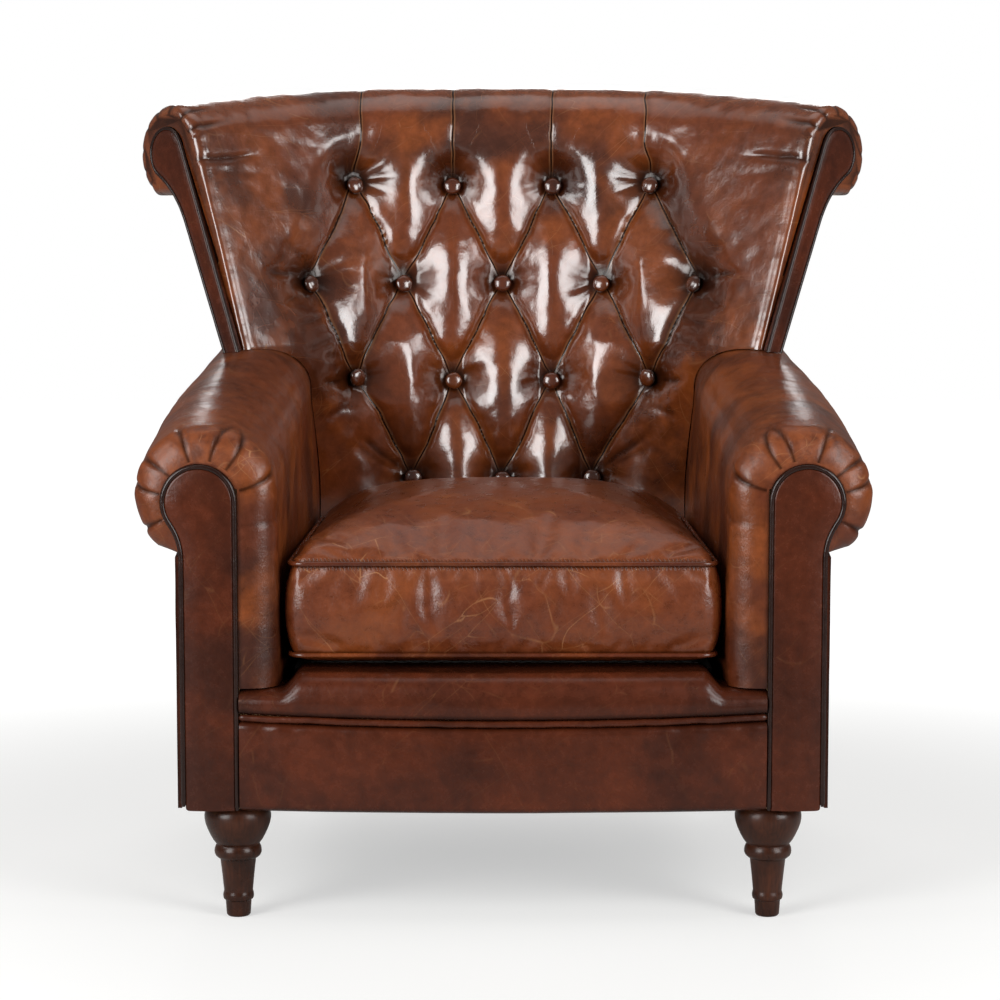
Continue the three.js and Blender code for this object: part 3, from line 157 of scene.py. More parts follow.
class ArmchairWings(bpy.types.PropertyGroup):
    """The wing facings."""

    head: length("Facing head", "Radius of the facing's round head", 0.0345)
    inner_foot: length("Inner foot", "Inner edge of the facing at its foot, from the head's centre", 0.145)
    outer_foot: length("Outer foot", "Outer edge of the facing at its foot, from the head's centre", 0.112)
    foot_drop: length("Foot drop", "Drop from the head's centre to the foot", 0.248)
    tail: length("Tail", "How much further the facing runs down behind the arm", 0.03)
    outer_run: share("Outer run", "Slope of the outer edge", 0.468)
    inner_run: share("Inner run", "Slope of the inner edge", 0.435)
    thickness: length("Thickness", "Thickness of the facing", 0.01)
    proud: length("Proud", "How far the facing stands past the padding's end", 0.005)
    welt: length("Welt radius", "Radius of its piping", 0.0023)


class ArmchairCushion(bpy.types.PropertyGroup):
    """The loose seat cushion."""

    side_gap: length("Side gap", "Between the cushion and each arm", 0.0095)
    rear_taper: length("Rear taper", "How much narrower the back is", 0.007)
    depth: length("Depth", "Front to back", 0.524)
    front: length("Front", "Behind the arm fronts", 0.033)
    front_corner: length("Front corner", "Radius of the front corners", 0.016)
    rear_corner: length("Rear corner", "Radius of the rear corners", 0.045)
    boxing: length("Boxing", "Height of the side panels", 0.105)
    belly: length("Belly", "Depth of the underside below the lower piping", 0.011)
    crown: length("Crown", "Rise of the top over the upper piping", 0.065)
    swell: length("Swell", "How much the sides bulge", 0.006)
    above_deck: length("Above deck", "Clearance over the deck", 0.0006)
    welt: length("Welt radius", "Radius of the piping", 0.0028)
    voxel: length("Voxel", "Mesh size of the stuffing simulation", 0.006)
    cap: length("Swell limit", "How far the stuffing may push the cover", 0.006)


class ArmchairFront(bpy.types.PropertyGroup):
    """Lip, piping and rail cover under the cushion."""

    cover_height: length("Cover height", "Height of the rail cover", 0.103)
    cover_depth: length("Cover depth", "How far the cover stands before the rail", 0.012)
    bow: length("Bow", "How much the front bows forward", 0.017)
    sag: length("Sag", "How much the piping sags in the middle", 0.005)
    welt: length("Welt radius", "Radius of the piping", 0.004)
    lip_height: length("Lip height", "Height of the lip", 0.047)
    lip_depth: length("Lip depth", "Depth of the lip behind the rail's face", 0.064)
    lip_front: length("Lip front", "How far the lip stands before the cover", 0.003)
    side_drop: length("Side drop", "How much lower the lip is beside the arms", 0.0195)
    shoulder: length("Shoulder", "Width over which it drops", 0.024)
    rail_front: length("Rail front", "Face of the rail behind the arm fronts", 0.0123)


class ArmchairShell(bpy.types.PropertyGroup):
    """Outside panels."""

    thickness: length("Thickness", "Thickness of the panels", 0.005)
    rear_foot: length("Rear foot", "How far behind the arm fronts the back stands at its foot", 0.705)
    lean: share("Lean", "Lean of the outside back", 0.115)
    shoulder: length("Shoulder", "Height where the outside back starts to narrow", 0.535)
    wing_level: length("Wing level", "Height where the wings leave the back", 0.64)
    wing_half: length("Wing half width", "Half width there", 0.365)
    top_half: length("Top half width", "Half width under the roll", 0.24)
    lift: length("Lift", "Lower edge over the frame's underside", 0.001)


class ArmchairLegs(bpy.types.PropertyGroup):
    """Turned front legs and square rear legs."""

    across: length("Across", "Between the centres of the front legs", 0.612)
    set_back: length("Set back", "Centres behind the arm fronts", 0.045)
    sides: IntProperty(name="Sides", description="Facets round a turned leg", default=72)


class ArmchairFinish(bpy.types.PropertyGroup):
    """Colours of the leather, timber and cloth."""

    # Deep brown also gives the painted shade in folds, dimples, pleats and seams, at about a fifth of its
    # strength.
    deep: colour("Deep brown", "Leather where the dye has gathered", "25100a")
    body: colour("Body brown", "Leather over most of the chair", "582612")
    warm: colour("Warm brown", "Leather where it is stretched and rubbed", "7f3f18")
    # Tan also gives the painted highlight beside each fold of the buttoned back.
    tan: colour("Tan", "Scratches and worn edges", "ad7a50")
    panel: colour("Panel brown", "Smooth leather of the facings and rail", "4a2010")
    piping: colour("Piping", "Piping and seams, blackened by dye", "20100a")
    leg: colour("Leg stain", "Stain of the legs", "3a1c0e")
    timber: colour("Timber", "Bare beech of the hidden frame", "c9a577")
    cloth: colour("Black cloth", "Deck and dust cover", "1c1b1a")
    foam: colour("Foam", "Cushion core", "e6dcc0")
    steel: colour("Steel", "Springs", "8d8f92")
    zip: colour("Zip tape", "Tape of the cushion's zip", "33211a")


class ArmchairStage(bpy.types.PropertyGroup):
    """Camera, lights and floor."""

    distance: length("Distance", "From the camera to the arm fronts", 2.95)
    height: length("Height", "Height of the camera", 0.787)
    aside: length("Aside", "How far left of the middle the camera stands", 0.0034)
    pitch: FloatProperty(name="Pitch", description="How far the camera looks down",
                         default=math.radians(5.796), subtype="ANGLE")
    lens: FloatProperty(name="Lens", description="Focal length", default=95.04, unit="CAMERA")
    floor: colour("Floor", "Colour of the floor", "bcbcba")


# Shapes shared by the pieces


def mix(a, b, part):
    """The value that lies part of the way from a to b."""
    return a + (b - a) * part


def smooth(part):
    """An even step from 0 to 1."""
    part = np.clip(part, 0, 1)
    return part * part * (3 - 2 * part)


def hinge(distance, softness):
    """A bend that is soft for about that distance."""
    return (distance + np.hypot(distance, softness)) / 2


def noise(points, size, seed):
    """Smooth random values from -1 to 1, with bumps of about that size."""
    places = np.asarray(points, float) / size
    cell = np.floor(places).astype(np.int64)
    inside = places - cell
    inside = inside * inside * (3 - 2 * inside)
    total = np.zeros(places.shape[:-1])
    for corner in range(8):
        step = np.array([corner & 1, corner >> 1 & 1, corner >> 2 & 1])
        at = cell + step
        mixed = (at[..., 0] * 73856093) ^ (at[..., 1] * 19349663) ^ (at[..., 2] * 83492791) ^ (seed * 6542989)
        mixed = ((mixed & 0x7FFFFFFF) * 1103515245 + 12345) & 0x7FFFFFFF
        mixed = ((mixed ^ (mixed >> 15)) * 2246822519) & 0x7FFFFFFF
        value = (mixed / 0x3FFFFFFF) - 1
        weight = np.prod(np.where(step == 1, inside, 1 - inside), axis=-1)
        total += value * weight
    return total


def wrinkles(points, size, seed, stretch=(1, 1, 1)):
    """Three sizes of random bumps on top of each other."""
    points = np.asarray(points) / np.array(stretch)
    return (noise(points, size, seed) + 0.5 * noise(points, size / 2.1, seed + 1)
            + 0.25 * noise(points, size / 4.3, seed + 2)) / 1.5


def mark(mesh, shades):
    """Stores values per point, which the leather's material reads."""
    for key, values in shades.items():
        mesh.attributes.new(key, "FLOAT", "POINT").data.foreach_set("value", values.astype(np.float32))


def read(mesh, key):
    """The place or the normal of every point."""
    values = np.empty(len(mesh.vertices) * 3)
    mesh.vertices.foreach_get(key, values)
    return values.reshape(-1, 3)


def link_mesh(name, points, faces, crease_degrees=SOFT_EDGE, shades=None):
    """Makes an object of points and faces, with its faces turned outwards and any values per point."""
    mesh = bpy.data.meshes.new(name)
    mesh.from_pydata(np.asarray(points).tolist(), [], [list(face) for face in faces])
    mark(mesh, shades or {})
    work = bmesh.new()
    work.from_mesh(mesh)
    bmesh.ops.remove_doubles(work, verts=work.verts, dist=1e-6)
    bmesh.ops.recalc_face_normals(work, faces=work.faces)
    work.to_mesh(mesh)
    work.free()
    mesh.shade_smooth()
    mesh.set_sharp_from_angle(angle=math.radians(crease_degrees))
    piece = bpy.data.objects.new(name, mesh)
    bpy.context.scene.collection.objects.link(piece)
    return piece


def ring_faces(index):
    """Four-sided faces between rows of a closed ring of indices."""
    after = np.roll(index, -1, axis=1)
    return np.stack([index[:-1], after[:-1], after[1:], index[1:]], -1).reshape(-1, 4).tolist()


def ring_body(rings):
    """Points and faces of a closed body through rings with equally many points."""
    rings = np.asarray(rings)
    index = np.arange(rings.shape[0] * rings.shape[1]).reshape(rings.shape[:2])
    faces = ring_faces(index) + [index[0][::-1].tolist(), index[-1].tolist()]
    return rings.reshape(-1, 3), faces


def slab_body(front, rear):
    """Points and faces of a closed slab between two grids of points."""
    rows, columns = front.shape[:2]
    near = np.arange(rows * columns).reshape(rows, columns)
    far = near + rows * columns
    faces = []
    for grid in (near, far[:, ::-1]):
        corners = [grid[:-1, :-1], grid[:-1, 1:], grid[1:, 1:], grid[1:, :-1]]
        faces += np.stack(corners, -1).reshape(-1, 4).tolist()
    for line in (near[0], near[:, -1], near[-1][::-1], near[::-1, 0]):
        faces += [[a, a + rows * columns, b + rows * columns, b] for a, b in zip(line[:-1], line[1:])]
    return np.concatenate([front.reshape(-1, 3), rear.reshape(-1, 3)]), faces


def tube_body(path, radius, closed=False):
    """Points and faces of a round tube along a path. The radius may change along it."""
    sides = 12
    path = np.asarray(path, float)
    radius = np.broadcast_to(radius, len(path)).copy()
    if closed:
        ahead = np.roll(path, -1, axis=0) - np.roll(path, 1, axis=0)
    else:
        ahead = np.gradient(path, axis=0)
        radius[[0, -1]] *= 0.55
    ahead /= np.linalg.norm(ahead, axis=1, keepdims=True)
    helper = np.array([0.0, 0, 1]) if abs(ahead[0][2]) < 0.9 else np.array([0.0, 1, 0])
    out = np.cross(ahead[0], helper)
    rings = []
    for point, along, size in zip(path, ahead, radius):
        out = out - along * np.dot(out, along)
        out /= np.linalg.norm(out)
        up = np.cross(along, out)
        angle = np.arange(sides) * 2 * np.pi / sides
        rings.append(point + size * (np.outer(np.cos(angle), out) + np.outer(np.sin(angle), up)))
    rings = np.array(rings)
    if not closed:
        return ring_body(rings)
    index = np.arange(rings.shape[0] * sides).reshape(rings.shape[:2])
    return rings.reshape(-1, 3), ring_faces(np.concatenate([index, index[:1]]))


def piping_body(path, radius, lump, seed, closed=False):
    """A tube along a path, a little uneven in thickness, as sewn piping is."""
    return tube_body(path, radius * (1 + 0.05 * noise(path, lump, seed)), closed)


def unit_grid(rows, columns):
    """Places across and up a panel, from 0 to 1."""
    return np.meshgrid(np.linspace(0, 1, columns), np.linspace(0, 1, rows))


def to_rim(u, v, across=1, up=1):
    """Distance of each place to the nearest edge of a panel of that size."""
    return np.minimum(np.minimum(u, 1 - u) * across, np.minimum(v, 1 - v) * up)


def soften(path, times):
    """Rounds the knees of a path of points, and keeps its ends."""
    for _ in range(times):
        path[1:-1] = (path[:-2] + 2 * path[1:-1] + path[2:]) / 4


def circle(x, y, radius, z, count):
    """Points round a level circle."""
    angle = np.linspace(0, 2 * np.pi, count, endpoint=False)
    return np.stack([x + radius * np.cos(angle), y + radius * np.sin(angle), np.full(count, z)], -1)


def apply_modifiers(piece):
    """Makes the shape that the modifiers give the piece's own mesh."""
    evaluated = piece.evaluated_get(bpy.context.evaluated_depsgraph_get())
    mesh = bpy.data.meshes.new_from_object(evaluated)
    piece.modifiers.clear()
    old, piece.data = piece.data, mesh
    bpy.data.meshes.remove(old)


def carve(piece, *tools):
    """Cuts the tools out of a piece and removes them."""
    for tool in tools:
        cutter = piece.modifiers.new("cut", "BOOLEAN")
        cutter.operation = "DIFFERENCE"
        cutter.solver = "MANIFOLD"
        cutter.object = tool
        apply_modifiers(piece)
        bpy.data.objects.remove(tool)
        if len(piece.data.polygons) == 0:
            raise RuntimeError(f"cutting {piece.name} left nothing")
    piece.data.shade_smooth()
    piece.data.set_sharp_from_angle(angle=math.radians(SOFT_EDGE))


def spread(path, counts):
    """Splits each straight run of a path in that many pieces."""
    points = [path[:1]]
    for a, b, count in zip(path[:-1], path[1:], counts):
        steps = np.arange(1, count + 1)[:, None] / count
        points.append(a + (b - a) * steps)
    return np.concatenate(points)


def curve_through(a, knee, b, steps):
    """Points of a rounded corner."""
    t = np.linspace(0, 1, steps + 1)[:, None]
    return (1 - t) ** 2 * a + 2 * t * (1 - t) * knee + t ** 2 * b


def scroll_outline(spec, inset):
    """The outline of a facing, narrow below and round on top. x runs outwards and y up from its head."""
    radius = spec["head"] - inset
    foot = spec["foot"]
    outer_inset = inset * math.hypot(1, spec["outer_run"])
    inner = spec["inner_foot"] + inset * math.hypot(1, spec["inner_run"])

    def outer_at(level):
        return spec["outer_foot"] + (level - foot) * spec["outer_run"] - outer_inset

    start = math.atan2(foot, -inner) + math.acos(min(1, radius / math.hypot(inner, foot)))
    under = math.radians(spec["under"])
    angles = np.linspace(start, under, 49)
    head = np.stack([-radius * np.cos(angles), radius * np.sin(angles)], -1)
    run = np.array([math.sin(under), math.cos(under)])
    along = (outer_at(head[-1][1]) - head[-1][0]) / (run[0] - run[1] * spec["outer_run"])
    knee = head[-1] + run * along
    down = np.array([-spec["outer_run"], -1.0])
    leave = knee + down / np.linalg.norm(down) * along
    corner = max(spec["corner"] - inset / 2, GAP)
    heel = np.array([outer_at(foot), foot])
    above = np.array([outer_at(foot + corner), foot + corner])
    return np.concatenate([
        [[inner, foot]],
        head,
        curve_through(head[-1], knee, leave, 10)[1:],
        curve_through(above, heel, heel - np.array([corner, 0]), 8),
    ])


def scroll_counts(spec):
    """How many pieces each run of a facing's outline is split in."""
    runs = np.linalg.norm(np.diff(scroll_outline(spec, 0), axis=0), axis=1)
    return np.maximum(1, np.ceil(runs / 0.006)).astype(int)


def facing_body(spec, place, thickness, inset, puff):
    """A padded facing: straight edges, a rounded rim and a slightly crowned face."""
    counts = scroll_counts(spec)
    rim = 0.003
    rings = []
    stations = [(0, 0), (0, thickness - rim)]
    stations += [(rim * (1 - math.cos(a)), thickness - rim + rim * math.sin(a)) for a in (0.4, 0.8, 1.2)]
    foot_width = (spec["outer_foot"] - spec["inner_foot"]) / math.hypot(1, spec["outer_run"])
    deepest = rim + 0.8 * (foot_width / 2 - inset - rim)
    for step in range(7):
        part = step / 6
        stations.append((mix(rim, deepest, part), thickness + puff * math.sin(part * math.pi / 2)))
    for more, forward in stations:
        line = spread(scroll_outline(spec, inset + more), counts)
        rings.append(place(line, forward))
    return ring_body(rings)


def tube_on_outline(spec, place, radius, forward):
    """A welt along a facing's outline, from its inner foot over the head to above its outer corner."""
    line = scroll_outline(spec, radius)[:-8]
    runs = np.linalg.norm(np.diff(line, axis=0), axis=1)
    line = spread(line, np.maximum(1, np.ceil(runs / 0.004)).astype(int))
    soften(line, 3)
    return piping_body(place(line, forward), radius, 0.009, 5)


def facing_cutter(spec, place):
    """A solid that cuts the room of a facing board out of the padding behind it."""
    line = scroll_outline(spec, -GAP)
    return link_mesh("facing_cutter", *ring_body([place(line, -GAP), place(line, 0.05)]))


# Materials


def add(tree, kind, inputs=None, out=0, **settings):
    """Adds a shader node with its settings, sets or links its inputs, and gives one of its outputs."""
    node = tree.nodes.new("ShaderNode" + kind)
    for key, value in settings.items():
        setattr(node, key, value)
    for key, value in (inputs or {}).items():
        if isinstance(value, bpy.types.NodeSocket):
            tree.links.new(value, node.inputs[key])
        else:
            node.inputs[key].default_value = value
    return node.outputs[out] if node.outputs else None


def rgba(shade, strength=1):
    """A colour with full cover, made darker or lighter by its strength."""
    return (*(min(1, strength * c) for c in shade), 1)


def blend(a, b, part):
    """The colour that lies part of the way from a to b."""
    return tuple(mix(x, y, part) for x, y in zip(a, b))


def blank_material(name):
    """A material with nothing but its output."""
    material = bpy.data.materials.new(name)
    material.use_nodes = True
    tree = material.node_tree
    tree.nodes.clear()
    return material, tree


def leather(name, tones, rough, coat, shine, scars, grain, mottle=1.0, quilted=False):
    """Full-grain cowhide, drum-dyed, waxed and rubbed back by hand.

    The waxed finish gives bright soft-edged highlights. Painted shade darkens the folds, dimples, pleats and
    seams and takes the shine out there too. The dye wears off to orange and tan on high spots, under fine
    pale scratches, and a painted highlight in tan runs beside each fold of the buttoned back. The grain is
    0.8 mm in the real hide and is drawn at 3 mm, as coarse as it needs to show. The scratches are 0.2 mm and
    are drawn 0.7 mm wide. The thread-thin folds between buttons are drawn 2 mm wide.
    """
    deep, body, warm, tan = (rgba(tone) for tone in tones)
    material, tree = blank_material(name)
    place = add(tree, "TexCoord", out="Object")
    fold = add(tree, "Attribute", out="Fac", attribute_name="fold")
    rub = add(tree, "Attribute", out="Fac", attribute_name="rub")
    drift = add(tree, "TexNoise", {"Vector": place, "Scale": 16, "Detail": 1}, out="Color")
    centred = add(tree, "VectorMath", {0: drift, 1: (0.5, 0.5, 0.5)}, operation="SUBTRACT")
    bent = add(tree, "VectorMath", {0: centred, 1: (0.012, 0.012, 0.012), 2: place},
               operation="MULTIPLY_ADD")
    # Dye in soft clouds: dark ones about 150 mm across, warm ones about 80 mm, and a fine unevenness.
    clouds = add(tree, "TexNoise", {"Vector": bent, "Scale": 6.5, "Detail": 2, "Roughness": 0.45},
                 out="Fac")
    shifted = add(tree, "VectorMath", {0: bent, 1: (3.1, 1.7, 5.3)})
    glow = add(tree, "TexNoise", {"Vector": shifted, "Scale": 12, "Detail": 4, "Roughness": 0.5}, out="Fac")
    fine = add(tree, "TexNoise", {"Vector": bent, "Scale": 70, "Detail": 5, "Roughness": 0.65}, out="Fac")
    dark_share = add(tree, "MapRange", {0: clouds, 1: 0.36, 2: 0.62, 3: 0.7 * mottle, 4: 0.0},
                     interpolation_type="SMOOTHSTEP")
    warm_share = add(tree, "MapRange", {0: glow, 1: 0.42, 2: 0.7, 3: 0.0, 4: 0.85 * mottle},
                     interpolation_type="SMOOTHSTEP")
    tone = add(tree, "Mix", {0: dark_share, 6: body, 7: deep}, out=2, data_type="RGBA")
    tone = add(tree, "Mix", {0: warm_share, 6: tone, 7: warm}, out=2, data_type="RGBA")
    uneven = add(tree, "MapRange", {0: fine, 1: 0.3, 2: 0.7, 3: 0.75, 4: 1.22})
    tone = add(tree, "VectorMath", {0: tone, "Scale": uneven}, operation="SCALE")
    # Scratches run along the edges of long thin cells that lie several ways, and show only here and there.
    # Each set is left out where the surface would cut its cells across.
    facing = add(tree, "TexCoord", out="Normal")
    scratches_and_painted_fold_highlight = None
    for scale, long, turn, width in ((44, 12, (0, 0.9, 0), 0.014), (36, 11, (0, -0.6, 0), 0.012),
                                     (58, 12, (1.57, 0, 0.6), 0.018), (40, 11, (1.57, 0, -0.9), 0.013)):
        turned = add(tree, "Mapping", {"Vector": bent, "Rotation": turn, "Scale": (1, 1, long)},
                     vector_type="TEXTURE")
        lengthways = Euler(turn).to_matrix() @ Vector((0, 0, 1))
        across = add(tree, "VectorMath", {0: facing, 1: tuple(lengthways)}, out="Value",
                     operation="DOT_PRODUCT")
        across = add(tree, "Math", {0: across}, operation="ABSOLUTE")
        across = add(tree, "MapRange", {0: across, 1: 0.3, 2: 0.75, 3: 1.0, 4: 0.0})
        crack = add(tree, "TexVoronoi", {"Vector": turned, "Scale": scale}, out="Distance",
                    feature="DISTANCE_TO_EDGE")
        crack = add(tree, "MapRange", {0: crack, 1: 0.0, 2: width, 3: 1.0, 4: 0.0},
                    interpolation_type="SMOOTHSTEP")
        kept = add(tree, "TexNoise", {"Vector": turned, "Scale": 0.9 * scale, "Detail": 2}, out="Fac")
        kept = add(tree, "MapRange", {0: kept, 1: 0.48, 2: 0.68})
        kept = add(tree, "Math", {0: kept, 1: across}, operation="MULTIPLY")
        crack = add(tree, "Math", {0: crack, 1: kept}, operation="MULTIPLY")
        scratches_and_painted_fold_highlight = crack if scratches_and_painted_fold_highlight is None else add(tree, "Math", {0: scratches_and_painted_fold_highlight, 1: crack},
                                                    operation="MAXIMUM")
    worn = add(tree, "MapRange", {0: glow, 1: 0.35, 2: 0.65, 3: 0.2 * scars, 4: 0.7 * scars})
    worn = add(tree, "Math", {0: rub, 1: 0.4, 2: worn}, operation="MULTIPLY_ADD")
    scratches_and_painted_fold_highlight = add(tree, "Math", {0: scratches_and_painted_fold_highlight, 1: worn}, operation="MULTIPLY", use_clamp=True)
    patch = add(tree, "MapRange", {0: fine, 1: 0.38, 2: 0.62, 3: 0.25, 4: 0.9})
    patch = add(tree, "Math", {0: rub, 1: patch}, operation="MULTIPLY", use_clamp=True)
    crumple = add(tree, "TexNoise", {"Vector": bent, "Scale": 55, "Detail": 3, "Roughness": 0.45},
                  out="Fac")
    pores = add(tree, "TexNoise", {"Vector": bent, "Scale": 330, "Detail": 1}, out="Fac")
    height = add(tree, "Math", {0: crumple, 1: 4.0, 2: pores}, operation="MULTIPLY_ADD")
    # Stitches beside a seam: 4.5 mm apart, on the strip that the seam value marks.
    seam = add(tree, "Attribute", out="Fac", attribute_name="seam")
    along = add(tree, "VectorMath", {0: place, 1: (1400, 1400, 0)}, out="Value", operation="DOT_PRODUCT")
    stitch = add(tree, "Math", {0: along}, operation="SINE")
    stitch = add(tree, "MapRange", {0: stitch, 1: 0.2, 2: 0.9})
    stitch = add(tree, "Math", {0: stitch, 1: seam}, operation="MULTIPLY")
    height = add(tree, "Math", {0: stitch, 1: -2.5, 2: height}, operation="MULTIPLY_ADD")
    stitch = add(tree, "Math", {0: stitch, 1: 0.7}, operation="MULTIPLY")
    fold = add(tree, "Math", {0: fold, 1: stitch}, operation="MAXIMUM")
    if quilted:
        near = None
        for key in PLEATS:
            away = add(tree, "Attribute", out="Fac", attribute_name=key)
            away = add(tree, "Math", {0: away}, operation="ABSOLUTE")
            near = away if near is None else add(tree, "Math", {0: near, 1: away}, operation="MINIMUM")
        # A thin line of painted shade in each fold between buttons.
        line = add(tree, "MapRange", {0: near, 1: 0.0005, 2: 0.0017, 3: 1.0, 4: 0.0},
                   interpolation_type="SMOOTHSTEP")
        groove = add(tree, "MapRange", {0: near, 1: 0.0, 2: 0.0036, 3: 1.0, 4: 0.0},
                     interpolation_type="SMOOTHSTEP")
        height = add(tree, "Math", {0: groove, 1: -3.5, 2: height}, operation="MULTIPLY_ADD")
        # A painted highlight in tan beside each fold line, mixed in with the scratches.
        edge = add(tree, "Math", {0: groove, 1: line}, operation="SUBTRACT", use_clamp=True)
        edge = add(tree, "Math", {0: edge, 1: 0.7}, operation="MULTIPLY")
        scratches_and_painted_fold_highlight = add(tree, "Math", {0: scratches_and_painted_fold_highlight, 1: edge}, operation="MAXIMUM")
        fold = add(tree, "Math", {0: fold, 1: line}, operation="MAXIMUM")
    tone = add(tree, "Mix", {0: patch, 6: tone, 7: warm}, out=2, data_type="RGBA")
    tone = add(tree, "Mix", {0: scratches_and_painted_fold_highlight, 6: tone, 7: tan}, out=2, data_type="RGBA")
    # Painted shade: the tone goes almost black where the fold value marks folds, dimples, pleats and seams.
    hidden = add(tree, "Math", {0: fold, 1: 0.94}, operation="MULTIPLY", use_clamp=True)
    tone = add(tree, "Mix", {0: hidden, 6: tone, 7: rgba(deep[:3], 0.22)}, out=2, data_type="RGBA")
    gloss = add(tree, "MapRange", {0: fine, 1: 0.3, 2: 0.7, 3: rough[0], 4: rough[1]})
    gloss = add(tree, "Math", {0: rub, 1: 0.12, 2: gloss}, operation="MULTIPLY_ADD")
    normal = add(tree, "Bump", {"Strength": 0.4 * grain, "Distance": 0.0006, "Height": height})
    # The shine is taken out where the painted shade lies, so that the painted shade stays dark.
    shine_tint_in_painted_shade = add(tree, "Mix", {0: hidden, 6: (1, 1, 1, 1), 7: (0.05, 0.04, 0.03, 1)}, out=2, data_type="RGBA")
    shader = add(tree, "BsdfPrincipled",
                 {"Base Color": tone, "Roughness": gloss, "Normal": normal, "Specular Tint": shine_tint_in_painted_shade,
                  "Specular IOR Level": shine, "Coat Weight": coat, "Coat Roughness": 0.14, "IOR": 1.5})
    add(tree, "OutputMaterial", {"Surface": shader})
    return material


def timber(name, stain, rough, coat, shine):
    """Beech, turned or planed, with a grain of about 3 mm that runs upwards."""
    material, tree = blank_material(name)
    place = add(tree, "TexCoord", out="Object")
    along = add(tree, "Mapping", {"Vector": place, "Scale": (1, 1, 0.12)})
    rings = add(tree, "TexNoise", {"Vector": along, "Scale": 330, "Detail": 4, "Roughness": 0.6}, out="Fac")
    clouds = add(tree, "TexNoise", {"Vector": place, "Scale": 25, "Detail": 3}, out="Fac")
    grain = add(tree, "Math", {0: rings, 1: clouds}, operation="MULTIPLY")
    grain = add(tree, "MapRange", {"Value": grain, "From Min": 0.12, "From Max": 0.4})
    dark, light = rgba(stain, 0.5), rgba(stain, 1.5)
    tone = add(tree, "Mix", {0: grain, 6: dark, 7: light}, out=2, data_type="RGBA")
    gloss = add(tree, "MapRange",
                {"Value": clouds, "From Min": 0.3, "From Max": 0.7, "To Min": rough,
                 "To Max": rough + 0.14})
    normal = add(tree, "Bump", {"Strength": 0.2, "Distance": 0.0003, "Height": rings})
    shader = add(tree, "BsdfPrincipled",
                 {"Base Color": tone, "Roughness": gloss, "Normal": normal, "Coat Weight": coat,
                  "Coat Roughness": 0.16, "Specular IOR Level": shine, "IOR": 1.5})
    add(tree, "OutputMaterial", {"Surface": shader})
    return material


def woven(name, shade, thread, rough=0.9):
    """Plain-woven cloth. Its threads are drawn at the given spacing in metres."""
    material, tree = blank_material(name)
    place = add(tree, "TexCoord", out="Object")
    weave = None
    for bands in ("X", "Y"):
        stripes = add(tree, "TexWave",
                      {"Vector": place, "Scale": 0.5 / thread / math.pi, "Distortion": 0.6, "Detail": 1},
                      out="Fac", bands_direction=bands)
        weave = stripes if weave is None else add(tree, "Math", {0: weave, 1: stripes},
                                                  operation="MULTIPLY")
    dark, light = rgba(shade, 0.55), rgba(shade, 1.35)
    tone = add(tree, "Mix", {0: weave, 6: dark, 7: light}, out=2, data_type="RGBA")
    normal = add(tree, "Bump", {"Strength": 0.5, "Distance": 0.0004, "Height": weave})
    shader = add(tree, "BsdfPrincipled",
                 {"Base Color": tone, "Roughness": rough, "Normal": normal, "Sheen Weight": 0.2})
    add(tree, "OutputMaterial", {"Surface": shader})
    return material


def foam(name, shade):
    """Polyurethane foam, cut from a block, with open cells of about 1.5 mm."""
    material, tree = blank_material(name)
    place = add(tree, "TexCoord", out="Object")
    cells = add(tree, "TexVoronoi", {"Vector": place, "Scale": 650}, out="Distance")
    tone = add(tree, "Mix", {0: cells, 6: rgba(shade), 7: rgba(shade, 0.7)}, out=2, data_type="RGBA")
    normal = add(tree, "Bump", {"Strength": 0.6, "Distance": 0.0005, "Height": cells})
    shader = add(tree, "BsdfPrincipled", {"Base Color": tone, "Roughness": 0.95, "Normal": normal})
    add(tree, "OutputMaterial", {"Surface": shader})
    return material


def steel_wire(name, shade):
    """Drawn spring steel with a thin oil film and faint draw marks."""
    material, tree = blank_material(name)
    place = add(tree, "TexCoord", out="Object")
    marks = add(tree, "TexNoise", {"Vector": place, "Scale": 240, "Detail": 3}, out="Fac")
    gloss = add(tree, "MapRange",
                {"Value": marks, "From Min": 0.3, "From Max": 0.7, "To Min": 0.25, "To Max": 0.5})
    shader = add(tree, "BsdfPrincipled", {"Base Color": rgba(shade), "Roughness": gloss, "Metallic": 1})
    add(tree, "OutputMaterial", {"Surface": shader})
    return material


def seen_share(tree, mirrored):
    """1 for rays from the camera, also through glass, the given share for reflections, and 0 for light."""
    camera = add(tree, "LightPath", out="Is Camera Ray")
    through = add(tree, "LightPath", out="Is Transmission Ray")
    seen = add(tree, "Math", {0: camera, 1: through}, operation="MAXIMUM")
    glossy = add(tree, "LightPath", out="Is Glossy Ray")
    return add(tree, "Math", {0: glossy, 1: mirrored, 2: seen}, operation="MULTIPLY_ADD", use_clamp=True)


def material_for(key):
    """The named finish, made once."""
    name = FINISHES[key][0]
    if name in bpy.data.materials:
        return bpy.data.materials[name]
    return FINISHES[key][1](name, bpy.context.scene.armchair_finish)


